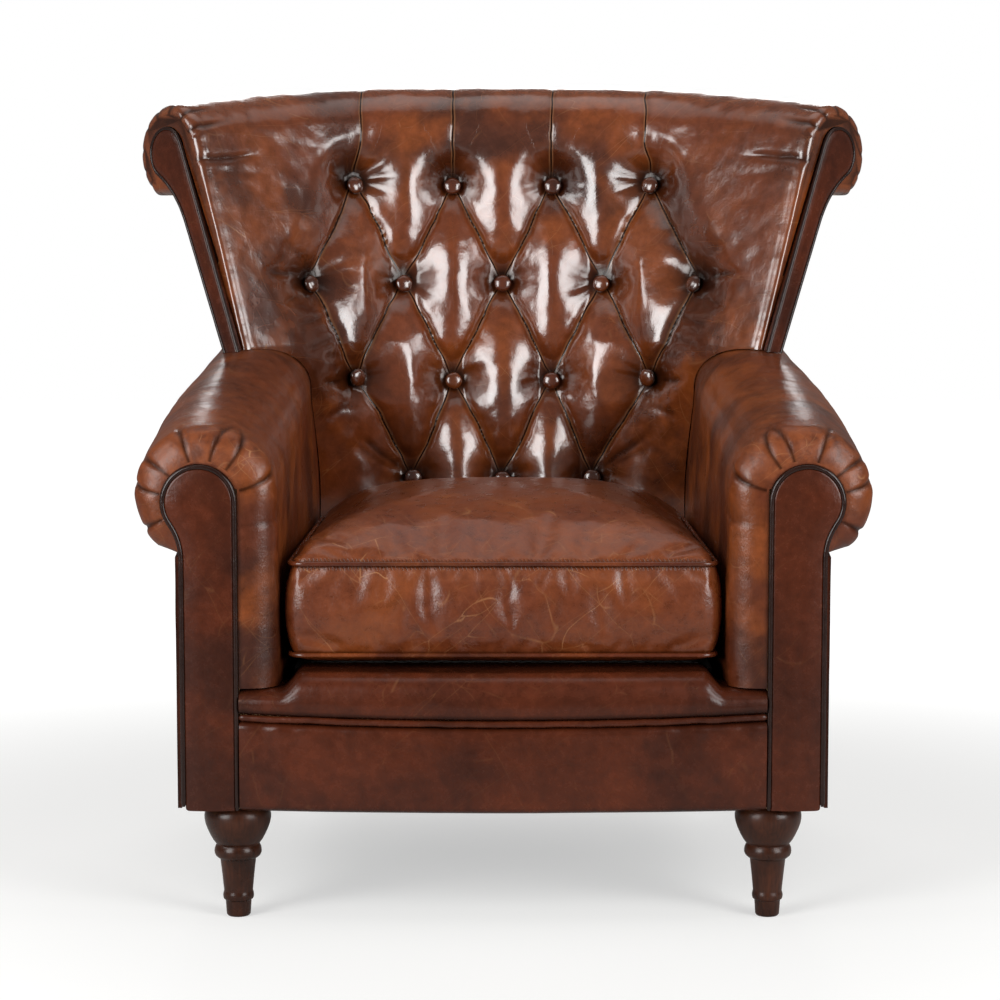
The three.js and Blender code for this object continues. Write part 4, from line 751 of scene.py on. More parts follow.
FINISHES = {
    "back": ("waxed_cowhide_back", lambda name, f: leather(
        name, (f.deep, blend(f.body, f.warm, 0.35), f.warm, f.tan), rough=(0.15, 0.23), coat=0.3,
        shine=0.9, scars=0.5, grain=0.5, quilted=True)),
    "button": ("waxed_cowhide_buttons", lambda name, f: leather(
        name, (f.deep, f.body, f.warm, f.tan), rough=(0.14, 0.2), coat=0.8, shine=0.9, scars=0.1,
        grain=0.4)),
    "cushion": ("waxed_cowhide_cushion", lambda name, f: leather(
        name, (f.body, blend(f.body, f.warm, 0.25), blend(f.body, f.warm, 0.8), f.tan), rough=(0.22, 0.32),
        coat=0.1, shine=0.5, scars=0.65, mottle=1.1, grain=0.9)),
    "arm": ("waxed_cowhide_arms", lambda name, f: leather(
        name, (f.deep, blend(f.body, f.warm, 0.1), f.warm, f.tan), rough=(0.27, 0.37), coat=0.05,
        shine=0.42, scars=0.45, grain=0.8)),
    "cushion_piping": ("waxed_cowhide_cushion_piping", lambda name, f: leather(
        name, (f.deep, f.body, f.warm, f.tan), rough=(0.22, 0.3), coat=0.1, shine=0.5, scars=0.3,
        mottle=0.8, grain=0.5)),
    "panel": ("waxed_cowhide_panels", lambda name, f: leather(
        name, (f.deep, f.panel, f.body, f.tan), rough=(0.22, 0.3), coat=0.03, shine=0.28, scars=0.15,
        mottle=0.8, grain=0.6)),
    "piping": ("dyed_cowhide_piping", lambda name, f: leather(
        name, (f.piping, blend(f.piping, f.deep, 0.6), f.deep, f.warm), rough=(0.2, 0.28), coat=0.05,
        shine=0.35, scars=0.1, mottle=0.6, grain=0.4)),
    "leg": ("stained_beech_turned", lambda name, f: timber(name, f.leg, 0.24, 0.05, 0.32)),
    "timber": ("bare_beech_planed", lambda name, f: timber(name, f.timber, 0.6, 0, 0.5)),
    "cloth": ("black_cambric_woven", lambda name, f: woven(name, f.cloth, 0.0016)),
    "zip": ("polyester_zip_tape_woven", lambda name, f: woven(name, f.zip, 0.0012, 0.7)),
    "foam": ("polyurethane_foam_cut", lambda name, f: foam(name, f.foam)),
    "steel": ("spring_steel_drawn", lambda name, f: steel_wire(name, f.steel)),
}


def dress(piece, finish, slot, body, *nodes):
    """Gives a new piece its material and body, and hides the nodes it stands for. Its slot is not used."""
    piece.data.materials.clear()
    piece.data.materials.append(material_for(finish))
    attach(piece, body)
    if nodes:
        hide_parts(*nodes)
    return piece


def repaint(node, finish):
    """Gives a CAD node a finished material."""
    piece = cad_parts[node]
    if not piece.material_slots:
        piece.data.materials.append(None)
    for spot in piece.material_slots:
        spot.material = material_for(finish)


# The inside back


def back_half_span(s, z):
    """Half the width of the back's face at a height."""
    return s.half_width + np.maximum(0, z - s.arm_level) * s.flare


def back_turn_start(s, z):
    """Where the face starts to turn forward at a height."""
    return s.bend + np.maximum(0, z - s.arm_level) * s.bend_rise


def back_face(s, u, z):
    """A point of the face before it is buttoned. u is -1 at the left wing's end and 1 at the right."""
    u, z = np.broadcast_arrays(np.asarray(u, float), np.asarray(z, float))
    x = u * back_half_span(s, z)
    turn = mix(s.low_turn, 1, smooth((z - s.low_level) / (s.arm_level - s.low_level)))
    bend = back_turn_start(s, z)
    forward = hinge(np.abs(x) - bend, s.bend_softness) - hinge(-bend, s.bend_softness)
    y = FRONT + s.face + (z - s.arm_level) * s.lean - turn * forward
    return np.stack([x, y, z], -1)


def back_along(s, u, z):
    """The level direction along the face, to the right."""
    along = back_face(s, np.asarray(u) + STEP, z) - back_face(s, np.asarray(u) - STEP, z)
    return along / np.linalg.norm(along, axis=-1, keepdims=True)


def back_inward(s, u, z):
    """The level direction out of the face, towards the sitter."""
    along = back_along(s, u, z)
    return np.stack([along[..., 1], -along[..., 0], np.zeros_like(along[..., 0])], -1)


def back_roll(s, u):
    """Centre, radius, level, direction and lean of the top roll at each u."""
    u = np.atleast_1d(np.asarray(u, float))
    x = np.abs(u) * back_half_span(s, s.roll_level)
    bend = back_turn_start(s, s.roll_level)
    drop = s.roll_drop * (hinge(x - bend, s.bend_softness) - hinge(-bend, s.bend_softness))
    radius = mix(s.roll, s.wing_roll, smooth((x - bend) / bend))
    level = s.top - drop - radius
    face = back_face(s, u, level)
    inward = back_inward(s, u, level)
    below = back_face(s, u, level - STEP) - face
    lean = np.arctan2(np.sum(below * inward, -1), STEP)
    centre = face - inward * (radius / np.cos(lean))[:, None]
    return centre, radius, level, inward, lean


PLEATS = ("pleat_right", "pleat_left", "pleat_up")
TUFT_ROWS = ((-1.5, -0.5, 0.5, 1.5), (-2, -1, 0, 1, 2), (-1.5, -0.5, 0.5, 1.5), (-1, 0, 1))


def button_place(s, column, row):
    """x and z of a button on the face. Rows count from the top."""
    z = s.top_row + s.arch * min(abs(column), 2.25) ** 2 - s.down * row
    pitch = s.across + s.fan * (z - s.arm_level)
    return np.array([column * pitch * (1 - s.gather * abs(column)), z])


def back_folds(s):
    """Folds of the buttoned face: start, end, depth, width, which way it runs and its number that way.

    It runs down to the right (0), down to the left (1) or straight up (2). Loose pulls have no number.
    """
    folds = []
    for row, columns in enumerate(TUFT_ROWS):
        for column in columns:
            for side in (-0.5, 0.5):
                if row + 1 == len(TUFT_ROWS) or column + side in TUFT_ROWS[row + 1]:
                    folds.append((button_place(s, column, row), button_place(s, column + side, row + 1),
                                  0.0016, 0.006, int(side < 0), round(column - side * row + 0.5)))
    for column in TUFT_ROWS[0]:
        start = button_place(s, column, 0)
        folds.append((start, start + [0.004 * column, 0.26], 0.0014, 0.006, 2, round(column + 0.5)))
    for side in (-1, 1):
        outer = button_place(s, 2 * side, 1)
        low = button_place(s, 1.5 * side, 2)
        last = button_place(s, side, 3)
        high = button_place(s, 1.5 * side, 0)
        loose = [
            (outer, outer + [0.075 * side, 0.012], 0.0045, 0.006),
            (outer + [0.004 * side, -0.02], outer + [0.05 * side, -0.034], 0.0024, 0.005),
            (outer + [-0.012 * side, -0.05], outer + [0.03 * side, -0.062], 0.002, 0.005),
            (outer + [-0.02 * side, -0.078], outer + [0.02 * side, -0.09], 0.0016, 0.005),
            (outer + [0.012 * side, 0.022], outer + [0.052 * side, 0.05], 0.0016, 0.006),
            (low, low + [0.064 * side, -0.001], 0.004, 0.0065),
            (low + [0.012 * side, 0.03], low + [0.055 * side, 0.034], 0.0018, 0.006),
            (low + [0.01 * side, -0.03], low + [0.06 * side, -0.05], 0.002, 0.006),
            (last, last + [0.08 * side, 0.066], 0.0035, 0.007),
            (last, low + [0.03 * side, -0.085], 0.0018, 0.007),
            (high, high + [0.045 * side, 0.03], 0.0018, 0.007),
            ([0.405 * side, 0.878], [0.31 * side, 0.888], 0.0026, 0.005),
            ([0.37 * side, 0.866], [0.3 * side, 0.862], 0.0007, 0.006),
        ]
        folds += [(np.array(a), np.array(b), depth, width, None, 0) for a, b, depth, width in loose]
    return folds


def to_line(points, a, b):
    """Distance of flat points to a line from a to b, and how far along it they lie."""
    run = b - a
    along = np.clip(((points - a) @ run) / (run @ run), 0, 1)
    return np.linalg.norm(points - a - along[..., None] * run, axis=-1), along


def buttoned(s, flat):
    """How deep each point of the face is drawn in, how much painted shade it takes, and how far it is from
    the folds.

    flat holds x and height. The distance to the folds that run one way changes sign at each fold.
    """
    shake = np.stack([flat[..., 0], flat[..., 1], np.zeros_like(flat[..., 0])], -1)
    bent = flat + 0.0035 * np.stack([wrinkles(shake, 0.05, 11), wrinkles(shake, 0.05, 21)], -1)
    blank = np.zeros(flat.shape[:-1])
    close = blank + 1e-9
    crease = hidden = dimple = shade = spokes = blank
    pleats = [blank + 1 for _ in PLEATS]
    for a, b, depth, width, way, number in back_folds(s):
        distance, along = to_line(bent, a, b)
        ends = 1 if way in (0, 1) else smooth((1 - along) * 3)
        if way in (0, 1):
            close = close + np.exp(-distance / s.ridge)
        line = ends * np.exp(-(distance / width) ** 2)
        crease = np.maximum(crease, depth * line)
        # Painted shade along each fold.
        hidden = np.maximum(hidden, line ** 2 * (0.35 if way is not None else min(1, depth / 0.004)))
        if way is not None:
            run = b - a
            turn = run[0] * (bent[..., 1] - a[1]) - run[1] * (bent[..., 0] - a[0])
            away = distance + 0.01 * (1 - ends)
            signed = np.where(turn * (-1) ** number < 0, -away, away)
            pleats[way] = np.where(away < np.abs(pleats[way]), signed, pleats[way])
    # Each diamond is puffed: its flanks slope evenly down to the folds from a soft ridge.
    part = np.clip(-s.ridge * np.log(close) / 0.06, 0, 1)
    draw = s.valley * (1 - 0.17 * (1 - np.exp(-part / 0.06)) - 0.83 * (1 - (1 - part) ** 1.6))
    for row, columns in enumerate(TUFT_ROWS):
        for column in columns:
            offset = flat - button_place(s, column, row)
            distance = np.linalg.norm(offset, axis=-1)
            dimple = np.maximum(dimple, np.exp(-(np.maximum(0, distance - 0.009) / 0.019) ** 1.4))
            # A halo of painted shade round each button.
            shade = np.maximum(shade, 0.45 * np.exp(-(distance / 0.03) ** 2))
            angle = np.arctan2(offset[..., 1], offset[..., 0])
            ring = np.exp(-((distance - 0.026) / 0.015) ** 2) * (0.35 + 0.65 * np.abs(np.cos(angle)))
            turns = np.stack([np.cos(angle) * 2.2, np.sin(angle) * 2.2,
                              np.full_like(angle, column * 7 + row)], -1)
            spokes = spokes + ring * noise(turns, 0.42, 31)
    sink = draw + crease * (1 - dimple) + (s.dimple - draw) * dimple + 0.0013 * spokes
    # Painted shade: the folds, each button's dimple and the halo round it.
    hidden = np.clip(np.maximum(np.maximum(hidden * 0.85, dimple ** 1.05), shade), 0, 1)
    return sink, hidden, pleats


def back_thickness(s, u, z):
    """How thick the padding is."""
    wing = s.wing_thickness + np.maximum(0, z - s.arm_level) * s.wing_thicken
    return mix(s.thickness, wing, smooth((np.abs(u) - 0.35) / 0.65))


ROLL_END = math.radians(238)


def back_body(s):
    """The buttoned padding, over both wings and the top roll, as a closed body with its fold values."""
    columns, wall_rows, roll_rows, end_steps = 310, 230, 80, 8
    angles = np.linspace(0, np.pi / 2, end_steps + 1)[1:]
    u = np.concatenate([np.full(end_steps, -1.0), np.linspace(-1, 1, columns), np.full(end_steps, 1.0)])
    drawn_in = s.end_softness * (1 - np.cos(angles))
    inset = np.concatenate([drawn_in[::-1], np.zeros(columns), drawn_in])
    bulge = s.end_round * np.sin(angles)
    out = np.concatenate([-bulge[::-1], np.zeros(columns), bulge])
    centre, radius, level, inward, lean = back_roll(s, u)
    outward = back_along(s, u, level) * out[:, None]
    foot = DECK_TOP + GAP
    top = level + radius * np.sin(lean)
    z = mix(foot, top[:, None], np.linspace(0, 1, wall_rows))
    uu = np.broadcast_to(u[:, None], z.shape)
    wall = back_face(s, uu, z)
    wall_out = back_inward(s, uu, z)
    near_roll = 0.5 + 0.5 * smooth((z - (top[:, None] - 0.08)) / 0.08)
    wall -= wall_out * (inset[:, None] * near_roll)[..., None]
    arc = mix(lean[:, None], ROLL_END, np.linspace(0, 1, roll_rows + 1)[1:])
    upright = np.array([0, 0, 1.0])
    arc_out = inward[:, None] * np.cos(arc)[..., None] + upright * np.sin(arc)[..., None]
    roll = centre[:, None] + arc_out * (radius - inset)[:, None, None]
    skin = np.concatenate([wall, roll], 1)
    skin_out = np.concatenate([wall_out, arc_out], 1)
    height = np.concatenate([z, top[:, None] + radius[:, None] * (arc - lean[:, None])], 1)
    flat = np.stack([skin[..., 0] + out[:, None], height], -1)
    sink, hidden, pleats = buttoned(s, flat)
    # The padding is uneven: broad soft lumps, and finer ones that die out where the leather is pulled tight.
    sink += 0.0016 * wrinkles(skin, 0.085, 3) + 0.0007 * wrinkles(skin, 0.03, 7)
    # Pleats where the roll is gathered round the wing's facing, with painted shade in each.
    to_end = np.minimum(np.linalg.norm(skin - skin[:1], axis=-1), np.linalg.norm(skin - skin[-1:], axis=-1))
    turn = np.concatenate([np.zeros_like(z) - 1, arc], 1)
    for side, shift in ((slice(0, len(u) // 2), 0.0), (slice(len(u) // 2, None), 0.09)):
        for angle, reach in ((0.55, 0.05), (1.0, 0.042), (1.5, 0.036), (2.0, 0.05), (2.5, 0.04), (3.05, 0.05),
                             (3.55, 0.045), (3.95, 0.04)):
            slant = angle + shift + 1.4 * to_end[side]
            line = np.exp(-((turn[side] - slant) * radius[side, None] / 0.0038) ** 2)
            line *= smooth(1.2 - to_end[side] / reach)
            sink[side] += 0.0019 * line
            hidden[side] = np.maximum(hidden[side], 0.8 * line)
    ease = smooth((height - foot) / 0.02)
    skin = skin - skin_out * (sink * ease)[..., None]
    # Behind: the slot for the top rail, then the rear of the padding down to the foot.
    rail_half, rail_rise = 0.0223, 0.0203
    under = (radius - inset) * math.sin(ROLL_END)
    slot_top = np.where(inset > 0, under + GAP, rail_rise)
    slot = np.stack([centre + inward * aside + upright * high[:, None] for aside, high in (
        (-rail_half, under), (-rail_half, slot_top), (rail_half, slot_top), (rail_half, under))], 1)
    rear_top = level + under - 0.01
    rear_z = mix(rear_top[:, None], foot, np.linspace(0, 1, 12))
    rear_u = np.broadcast_to(u[:, None], rear_z.shape)
    thickness = back_thickness(s, rear_u, rear_z)[..., None]
    rear = back_face(s, rear_u, rear_z) - back_inward(s, rear_u, rear_z) * thickness
    rings = np.concatenate([skin, slot, rear], 1) + outward[:, None]
    rub_top = smooth((turn - 0.6) / 0.6) * smooth((2.4 - turn) / 0.5)
    rub_end = np.exp(-to_end / 0.02) * smooth((height - 0.66) / 0.05)
    rub = np.clip(0.3 * rub_top + 0.5 * rub_end, 0, 1) * (1 - hidden)
    plain = np.zeros((len(u), slot.shape[1] + rear.shape[1]))
    # The fold value is the painted shade from the buttoning and the pleats.
    shades = {"fold": (hidden, plain), "rub": (rub, plain)}
    shades.update({key: (away, plain + 1) for key, away in zip(PLEATS, pleats)})
    return *ring_body(rings), {key: np.concatenate(both, 1).ravel() for key, both in shades.items()}


def wing_spec(w):
    """Outline sizes of the wing facing."""
    return {
        "head": w.head,
        "foot": -w.foot_drop - w.tail,
        "inner_foot": -w.inner_foot - w.tail * w.inner_run,
        "outer_foot": -w.outer_foot - w.tail * w.outer_run,
        "outer_run": w.outer_run,
        "inner_run": w.inner_run,
        "under": 240,
        "corner": 0.003,
    }


def wing_place(scene, side):
    """Turns points of a wing facing's plane to the chair."""
    s, w = scene.armchair_back, scene.armchair_wings
    centre, _, level, inward, _ = (value[0] for value in back_roll(s, [1.0]))
    outward = back_along(s, 1.0, level)
    start = s.end_round + w.proud - w.thickness

    def place(line, forward):
        points = centre + outward * (start + forward) - np.outer(line[:, 0], inward)
        points[:, 2] += line[:, 1]
        return points * np.array([side, 1, 1])

    return place


# The arms


def arm_radius(s, y):
    """Radius of the arm's roll at a depth."""
    return mix(s.roll, s.rear_roll, smooth((y - FRONT - s.taper_start) / (s.taper_end - s.taper_start)))


def arm_centre(s, y):
    """x and z of the roll's centre."""
    radius = arm_radius(s, y)
    return (s.seat_width / 2 + s.flat + radius, s.height + (y - FRONT) * s.rise + s.roll - radius)


def outside_rear(shell, z):
    """Rear face of the outside back."""
    return FRONT + shell.rear_foot + (z - FRAME_BOTTOM) * shell.lean


def inside_rear(shell, z):
    """How far back a piece may reach inside the outside back."""
    return outside_rear(shell, z) - shell.thickness - GAP


def arm_spec(s):
    """Outline sizes of the arm facing."""
    return {
        "head": s.head,
        "foot": FRAME_BOTTOM - s.height + s.facing_drop,
        "inner_foot": -s.head,
        "outer_foot": s.box_width - s.head,
        "outer_run": 0,
        "inner_run": 0,
        "under": 215,
        "corner": 0.006,
    }


def arm_place(s, side):
    """Turns points of an arm facing's plane to the chair."""
    x = s.seat_width / 2 + s.wall + s.head
    z = s.height - s.facing_drop
    back = FRONT + s.facing

    def place(line, forward):
        points = np.stack([x + line[:, 0], np.full(len(line), back - forward), z + line[:, 1]], -1)
        return points * np.array([side, 1, 1])

    return place


WALL_STEPS, ARC_STEPS = 60, 120
MEAN_ROLL = 0.075  # metres: turns an angle round the roll to a distance
# Direction and slant of the gathers round the arm's front, in degrees from straight inwards over the top.
ARM_PLEATS = ((14, 0.045, 8), (50, 0.05, 10), (77, 0.055, -14), (107, 0.045, 6), (143, 0.048, 10),
              (172, 0.05, -3), (207, 0.048, 6))


def arm_ring(s, y, draw, grow, solid):
    """One section of the arm: skin, outward directions, angles round the roll, inner side and centre."""
    radius = arm_radius(s, y)
    centre_x, centre_z = arm_centre(s, y)
    foot = s.foot - centre_z
    back_share = smooth((y - FRONT) / 0.72)
    part = np.arange(WALL_STEPS) / WALL_STEPS
    full = radius + s.flat
    deepest = full - s.head - 0.001
    swell = s.swell * back_share * np.sin(np.pi * part)
    slim = 0 if solid else 0.005 * math.exp(-max(0, y - FRONT) / 0.2) * (1 - draw)
    wall_x = -(full + swell - slim - draw * deepest + grow)
    wall_z = mix(foot, -s.wall_drop, part)
    face = s.seat_width / 2 + s.wall + s.box_width + 0.0053 - centre_x
    last = min(math.radians(228), math.pi + math.acos(min(1, face / (radius + grow))))
    angle = np.linspace(0, last, ARC_STEPS + 1)
    reach = radius + (s.flat - slim) * np.maximum(0, np.cos(angle)) ** 2
    reach = reach - draw * (reach - s.head - 0.001) + grow
    skin = np.concatenate([np.stack([wall_x, wall_z], -1),
                           np.stack([-reach * np.cos(angle), reach * np.sin(angle)], -1)])
    out = np.concatenate([np.tile([-1.0, 0], (WALL_STEPS, 1)), np.stack([-np.cos(angle), np.sin(angle)], -1)])
    turn = np.concatenate([wall_z / radius, angle])
    hollow_outer = s.seat_width / 2 + s.wall + s.box_width - centre_x + (0 if solid else GAP)
    hollow_inner = s.seat_width / 2 + s.wall - centre_x
    neck = -s.neck * radius / s.roll
    tail = [[hollow_outer, neck + 0.012 * draw]]
    if solid:
        tail += [[hollow_outer, foot]]
    else:
        hollow_top = mix(0.026, 0.0125, draw)
        tail += [[hollow_outer, hollow_top], [hollow_inner, hollow_top], [hollow_inner, foot]]
    return skin, out, turn, np.array(tail), (centre_x, centre_z)


def arm_body(scene, side, grow=0.0, solid=False):
    """The padded arm as a closed body, with its gathers and creases, or a plain one to cut with."""
    s, shell = scene.armchair_arms, scene.armchair_shell
    front = FRONT + 0.005 - grow
    rear = inside_rear(shell, s.foot) + grow
    straight = front + s.front_round
    round_end = 0.008
    stations = [(front + s.front_round * (1 - math.cos(a)), 1 - math.sin(a))
                for a in np.linspace(0, math.pi / 2, 14)]
    stations += [(y, 0) for y in np.linspace(straight, rear - round_end, 150)[1:-1]]
    stations += [(rear - round_end * (1 - math.cos(a)), (1 - math.sin(a)) * 0.25)
                 for a in np.linspace(math.pi / 2, 0, 5)]
    rings, folds, rubs = [], [], []
    for y, draw in stations:
        skin, out, turn, tail, (centre_x, centre_z) = arm_ring(s, y, draw, grow, solid)
        lean = smooth((y - straight) / (rear - round_end - straight)) * shell.lean
        ring = np.concatenate([skin, tail])
        points = np.stack([centre_x + ring[:, 0], np.full(len(ring), y), centre_z + ring[:, 1]], -1)
        points[:, 1] += lean * (points[:, 2] - s.foot)
        fold, rub = np.zeros(len(ring)), np.zeros(len(ring))
        if not solid:
            count = len(skin)
            along = y - front
            sink, hidden = arm_creases(turn, along, side)
            probe = points[:count] * np.array([side, 1, 1])
            sink += 0.0018 * wrinkles(probe, 0.09, 41) + 0.0006 * wrinkles(probe, 0.028, 47)
            sink *= 1 - draw ** 4
            points[:count, 0] -= out[:, 0] * sink
            points[:count, 2] -= out[:, 1] * sink
            fold[:count] = hidden
            on_roll = smooth((turn - 0.2) / 0.5) * smooth((3.2 - turn) / 0.6)
            rub[:count] = on_roll * (0.75 * np.exp(-along / 0.05) + 0.3)
        points[:, 0] *= side
        rings.append(points)
        folds.append(fold)
        rubs.append(rub)
    return *ring_body(rings), {"fold": np.concatenate(folds), "rub": np.concatenate(rubs)}


def arm_cutter(scene, side):
    """A plain arm, slightly larger than the padded one, to cut its neighbours with."""
    points, faces, _ = arm_body(scene, side, grow=ARM_GAP, solid=True)
    return link_mesh("arm_cutter", points, faces)


def arm_creases(turn, along, side):
    """Gathers round the front of an arm and the pulls on its inner side, with painted shade in each."""
    sink = np.zeros_like(turn)
    hidden = np.zeros_like(turn)
    for index, (degrees, reach, slant) in enumerate(ARM_PLEATS):
        uneven = 3 * math.sin(index * 2.3) if side > 0 else 0
        centre = math.radians(degrees + slant * along / reach + uneven)
        line = np.exp(-((turn - centre) * MEAN_ROLL / 0.0032) ** 2) * smooth(1.25 - along / reach)
        sink += 0.0036 * line
        hidden = np.maximum(hidden, 0.85 * line)
        puff = np.exp(-((turn - centre - 0.16) * MEAN_ROLL / 0.009) ** 2) * smooth(1.1 - along / reach)
        sink -= 0.0014 * puff
    # A double pull where the roll's leather turns down over the wall, just behind the front edge.
    for level, depth, reach in ((-0.28, 0.0028, 0.05), (-0.36, 0.0018, 0.06), (-0.2, 0.0012, 0.045)):
        line = np.exp(-((turn - level - 0.4 * along) * MEAN_ROLL / 0.0035) ** 2)
        line *= smooth(1.3 - along / reach)
        sink += depth * line
        hidden = np.maximum(hidden, 0.4 * line)
    return sink, hidden


# The seat cushion


def rounded_ring(c, seat_width, part, z, grow, count):
    """Points round the cushion at a height, part of the way out from its middle."""
    half_depth = c.depth / 2 + grow
    half_width = seat_width / 2 - c.side_gap
    middle = FRONT + c.front + c.depth / 2
    line = []
    for index, (side_x, side_y) in enumerate(((1, 1), (-1, 1), (-1, -1), (1, -1))):
        radius = max((c.rear_corner if side_y > 0 else c.front_corner) + grow, 0.0035)
        y = side_y * (half_depth - radius)
        half = half_width + grow - c.rear_taper * (y + half_depth) / (2 * half_depth)
        x = side_x * (half - radius)
        angles = (index + np.linspace(0, 1, 13)) * np.pi / 2
        line.append(np.stack([x + radius * np.cos(angles), y + radius * np.sin(angles)], -1))
    line = np.concatenate(line)
    line = np.concatenate([line, line[:1]])
    steps = np.concatenate([[0], np.cumsum(np.linalg.norm(np.diff(line, axis=0), axis=1))])
    wanted = np.linspace(0, steps[-1], count, endpoint=False)
    ring = np.stack([np.interp(wanted, steps, line[:, 0]), np.interp(wanted, steps, line[:, 1])], -1)
    return np.stack([part * ring[:, 0], middle + part * ring[:, 1], np.full(count, z)], -1)


def cushion_levels(c):
    """Heights of the underside and of both seams."""
    foot = DECK_TOP + c.above_deck
    return foot, foot + c.belly, foot + c.belly + c.boxing


def crown_rise(c, part):
    """How high the crown stands over the seam, part of the way out from its middle."""
    return c.crown * (1 - part ** 2.2) ** 0.7


def cushion_body(c, seat_width):
    """The boxed cushion as rings from the middle of its underside to the middle of its crown."""
    foot, low, high = cushion_levels(c)
    count = 300
    rings = []
    for part in (0.03, 0.3, 0.6, 0.8, 0.9, 0.95, 0.985):
        z = foot + (low - foot) * smooth((part - 0.9) / 0.1) * 0.6
        rings.append(rounded_ring(c, seat_width, part, z, 0, count))
    for part in np.linspace(0, 1, 16):
        bulge = math.sin(math.pi * part)
        swell = c.swell * bulge - 0.0012 * (1 - bulge) ** 3
        rings.append(rounded_ring(c, seat_width, 1, mix(low, high, part), swell, count))
    for part in (0.99, 0.975, 0.955, 0.93, 0.9, 0.86, 0.81, 0.75, 0.68, 0.6, 0.51, 0.42, 0.33, 0.24, 0.15,
                 0.05):
        rings.append(rounded_ring(c, seat_width, part, high + crown_rise(c, part), 0, count))
    return ring_body(rings)


def stuff(piece, c, held):
    """Blows the cover up a little against its held seams, so that it lies as stuffed leather does."""
    start = read(piece.data, "co")
    group = piece.vertex_groups.new(name="held")
    for index, weight in enumerate(held(start)):
        if weight > 0:
            group.add([index], float(weight), "REPLACE")
    cloth = piece.modifiers.new("stuffing", "CLOTH").settings
    cloth.quality = 6
    cloth.mass = 0.4
    cloth.tension_stiffness = cloth.compression_stiffness = 30
    cloth.bending_stiffness = 6
    cloth.use_pressure = True
    cloth.uniform_pressure_force = 4
    cloth.effector_weights.gravity = 0
    cloth.shrink_min = -0.02
    cloth.vertex_group_mass = "held"
    for number in range(1, 21):
        bpy.context.scene.frame_set(number)
    evaluated = piece.evaluated_get(bpy.context.evaluated_depsgraph_get())
    moved = read(evaluated.data, "co") - start
    far = np.linalg.norm(moved, axis=1, keepdims=True)
    moved *= np.minimum(1, c.cap / np.maximum(far, 1e-9))
    piece.modifiers.clear()
    bpy.context.scene.frame_set(1)
    piece.data.vertices.foreach_set("co", (start + moved).ravel())
    piece.data.update()


# Operators


class ARMCHAIR_OT_back(bpy.types.Operator):
    """Make the buttoned inside back with its wings and top roll"""

    bl_idname = "armchair.back"
    bl_label = "Buttoned Back"

    def execute(self, context):
        scene = context.scene
        points, faces, shades = back_body(scene.armchair_back)
        back = link_mesh("buttoned_back", points, faces, shades=shades)
        spec = wing_spec(scene.armchair_wings)
        for _, side in SIDES:
            carve(back, arm_cutter(scene, side), facing_cutter(spec, wing_place(scene, side)))
        dress(back, "back", "back_leather", CHAIR, "inside_back")
        return {"FINISHED"}


class ARMCHAIR_OT_buttons(bpy.types.Operator):
    """Make the sixteen covered buttons"""

    bl_idname = "armchair.buttons"
    bl_label = "Covered Buttons"

    def execute(self, context):
        s = context.scene.armchair_back
        for row, columns in enumerate(TUFT_ROWS):
            for place, column in enumerate(columns):
                self.make(s, row, place, column)
        return {"FINISHED"}

    def make(self, s, row, place, column):
        """One button, domed and pinched under its rim."""
        node = f"back_button_{row + 1}_{place + 1}"
        low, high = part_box(node)
        middle = np.array((low + high) / 2)
        x, z = button_place(s, column, row)
        u = x / back_half_span(s, z)
        along = back_along(s, u, z)
        up = back_face(s, u, z + STEP) - back_face(s, u, z - STEP)
        normal = np.cross(along, up)
        normal /= np.linalg.norm(normal)
        side = np.cross(normal, along)
        # Share of the radius, height over the rim, wear, and fold value, from underneath to the top of the
        # dome. The fold value is painted shade under and round the rim, and a darker tone of the button's own
        # over the dome.
        profile = ((0.2, -0.0042, 0, 1), (0.8, -0.0042, 0, 1), (0.97, -0.002, 0, 1), (1, 0, 0, 0.8),
                   (0.96, 0.0016, 0.1, 0.55), (0.82, 0.0031, 0.2, 0.4), (0.6, 0.0042, 0.2, 0.35),
                   (0.35, 0.0048, 0.2, 0.3), (0.1, 0.005, 0.2, 0.3))
        angle = np.linspace(0, 2 * np.pi, 40, endpoint=False)
        rings = []
        for out, rise, _, _ in profile:
            size = s.button / 2 * out * (1 + 0.02 * np.sin(5 * angle + row + column))
            rings.append(middle - normal * 0.0015 + normal * rise
                         + np.outer(np.cos(angle) * size, along) + np.outer(np.sin(angle) * size, side))
        rub, fold = np.repeat(np.array(profile)[:, 2:], len(angle), axis=0).T
        button = link_mesh(f"covered_button_{row + 1}_{place + 1}", *ring_body(rings),
                           shades={"rub": rub, "fold": fold})
        dress(button, "button", "button_leather", CHAIR, node)


class ARMCHAIR_OT_arms(bpy.types.Operator):
    """Make the padded scroll arms"""

    bl_idname = "armchair.arms"
    bl_label = "Padded Arms"

    def execute(self, context):
        scene = context.scene
        s = scene.armchair_arms
        for name, side in SIDES:
            points, faces, shades = arm_body(scene, side)
            arm = link_mesh(f"padded_arm_{name}", points, faces, shades=shades)
            carve(arm, facing_cutter(arm_spec(s), arm_place(s, side)))
            dress(arm, "arm", "arm_leather", CHAIR, f"arm_pad_{name}")
        return {"FINISHED"}


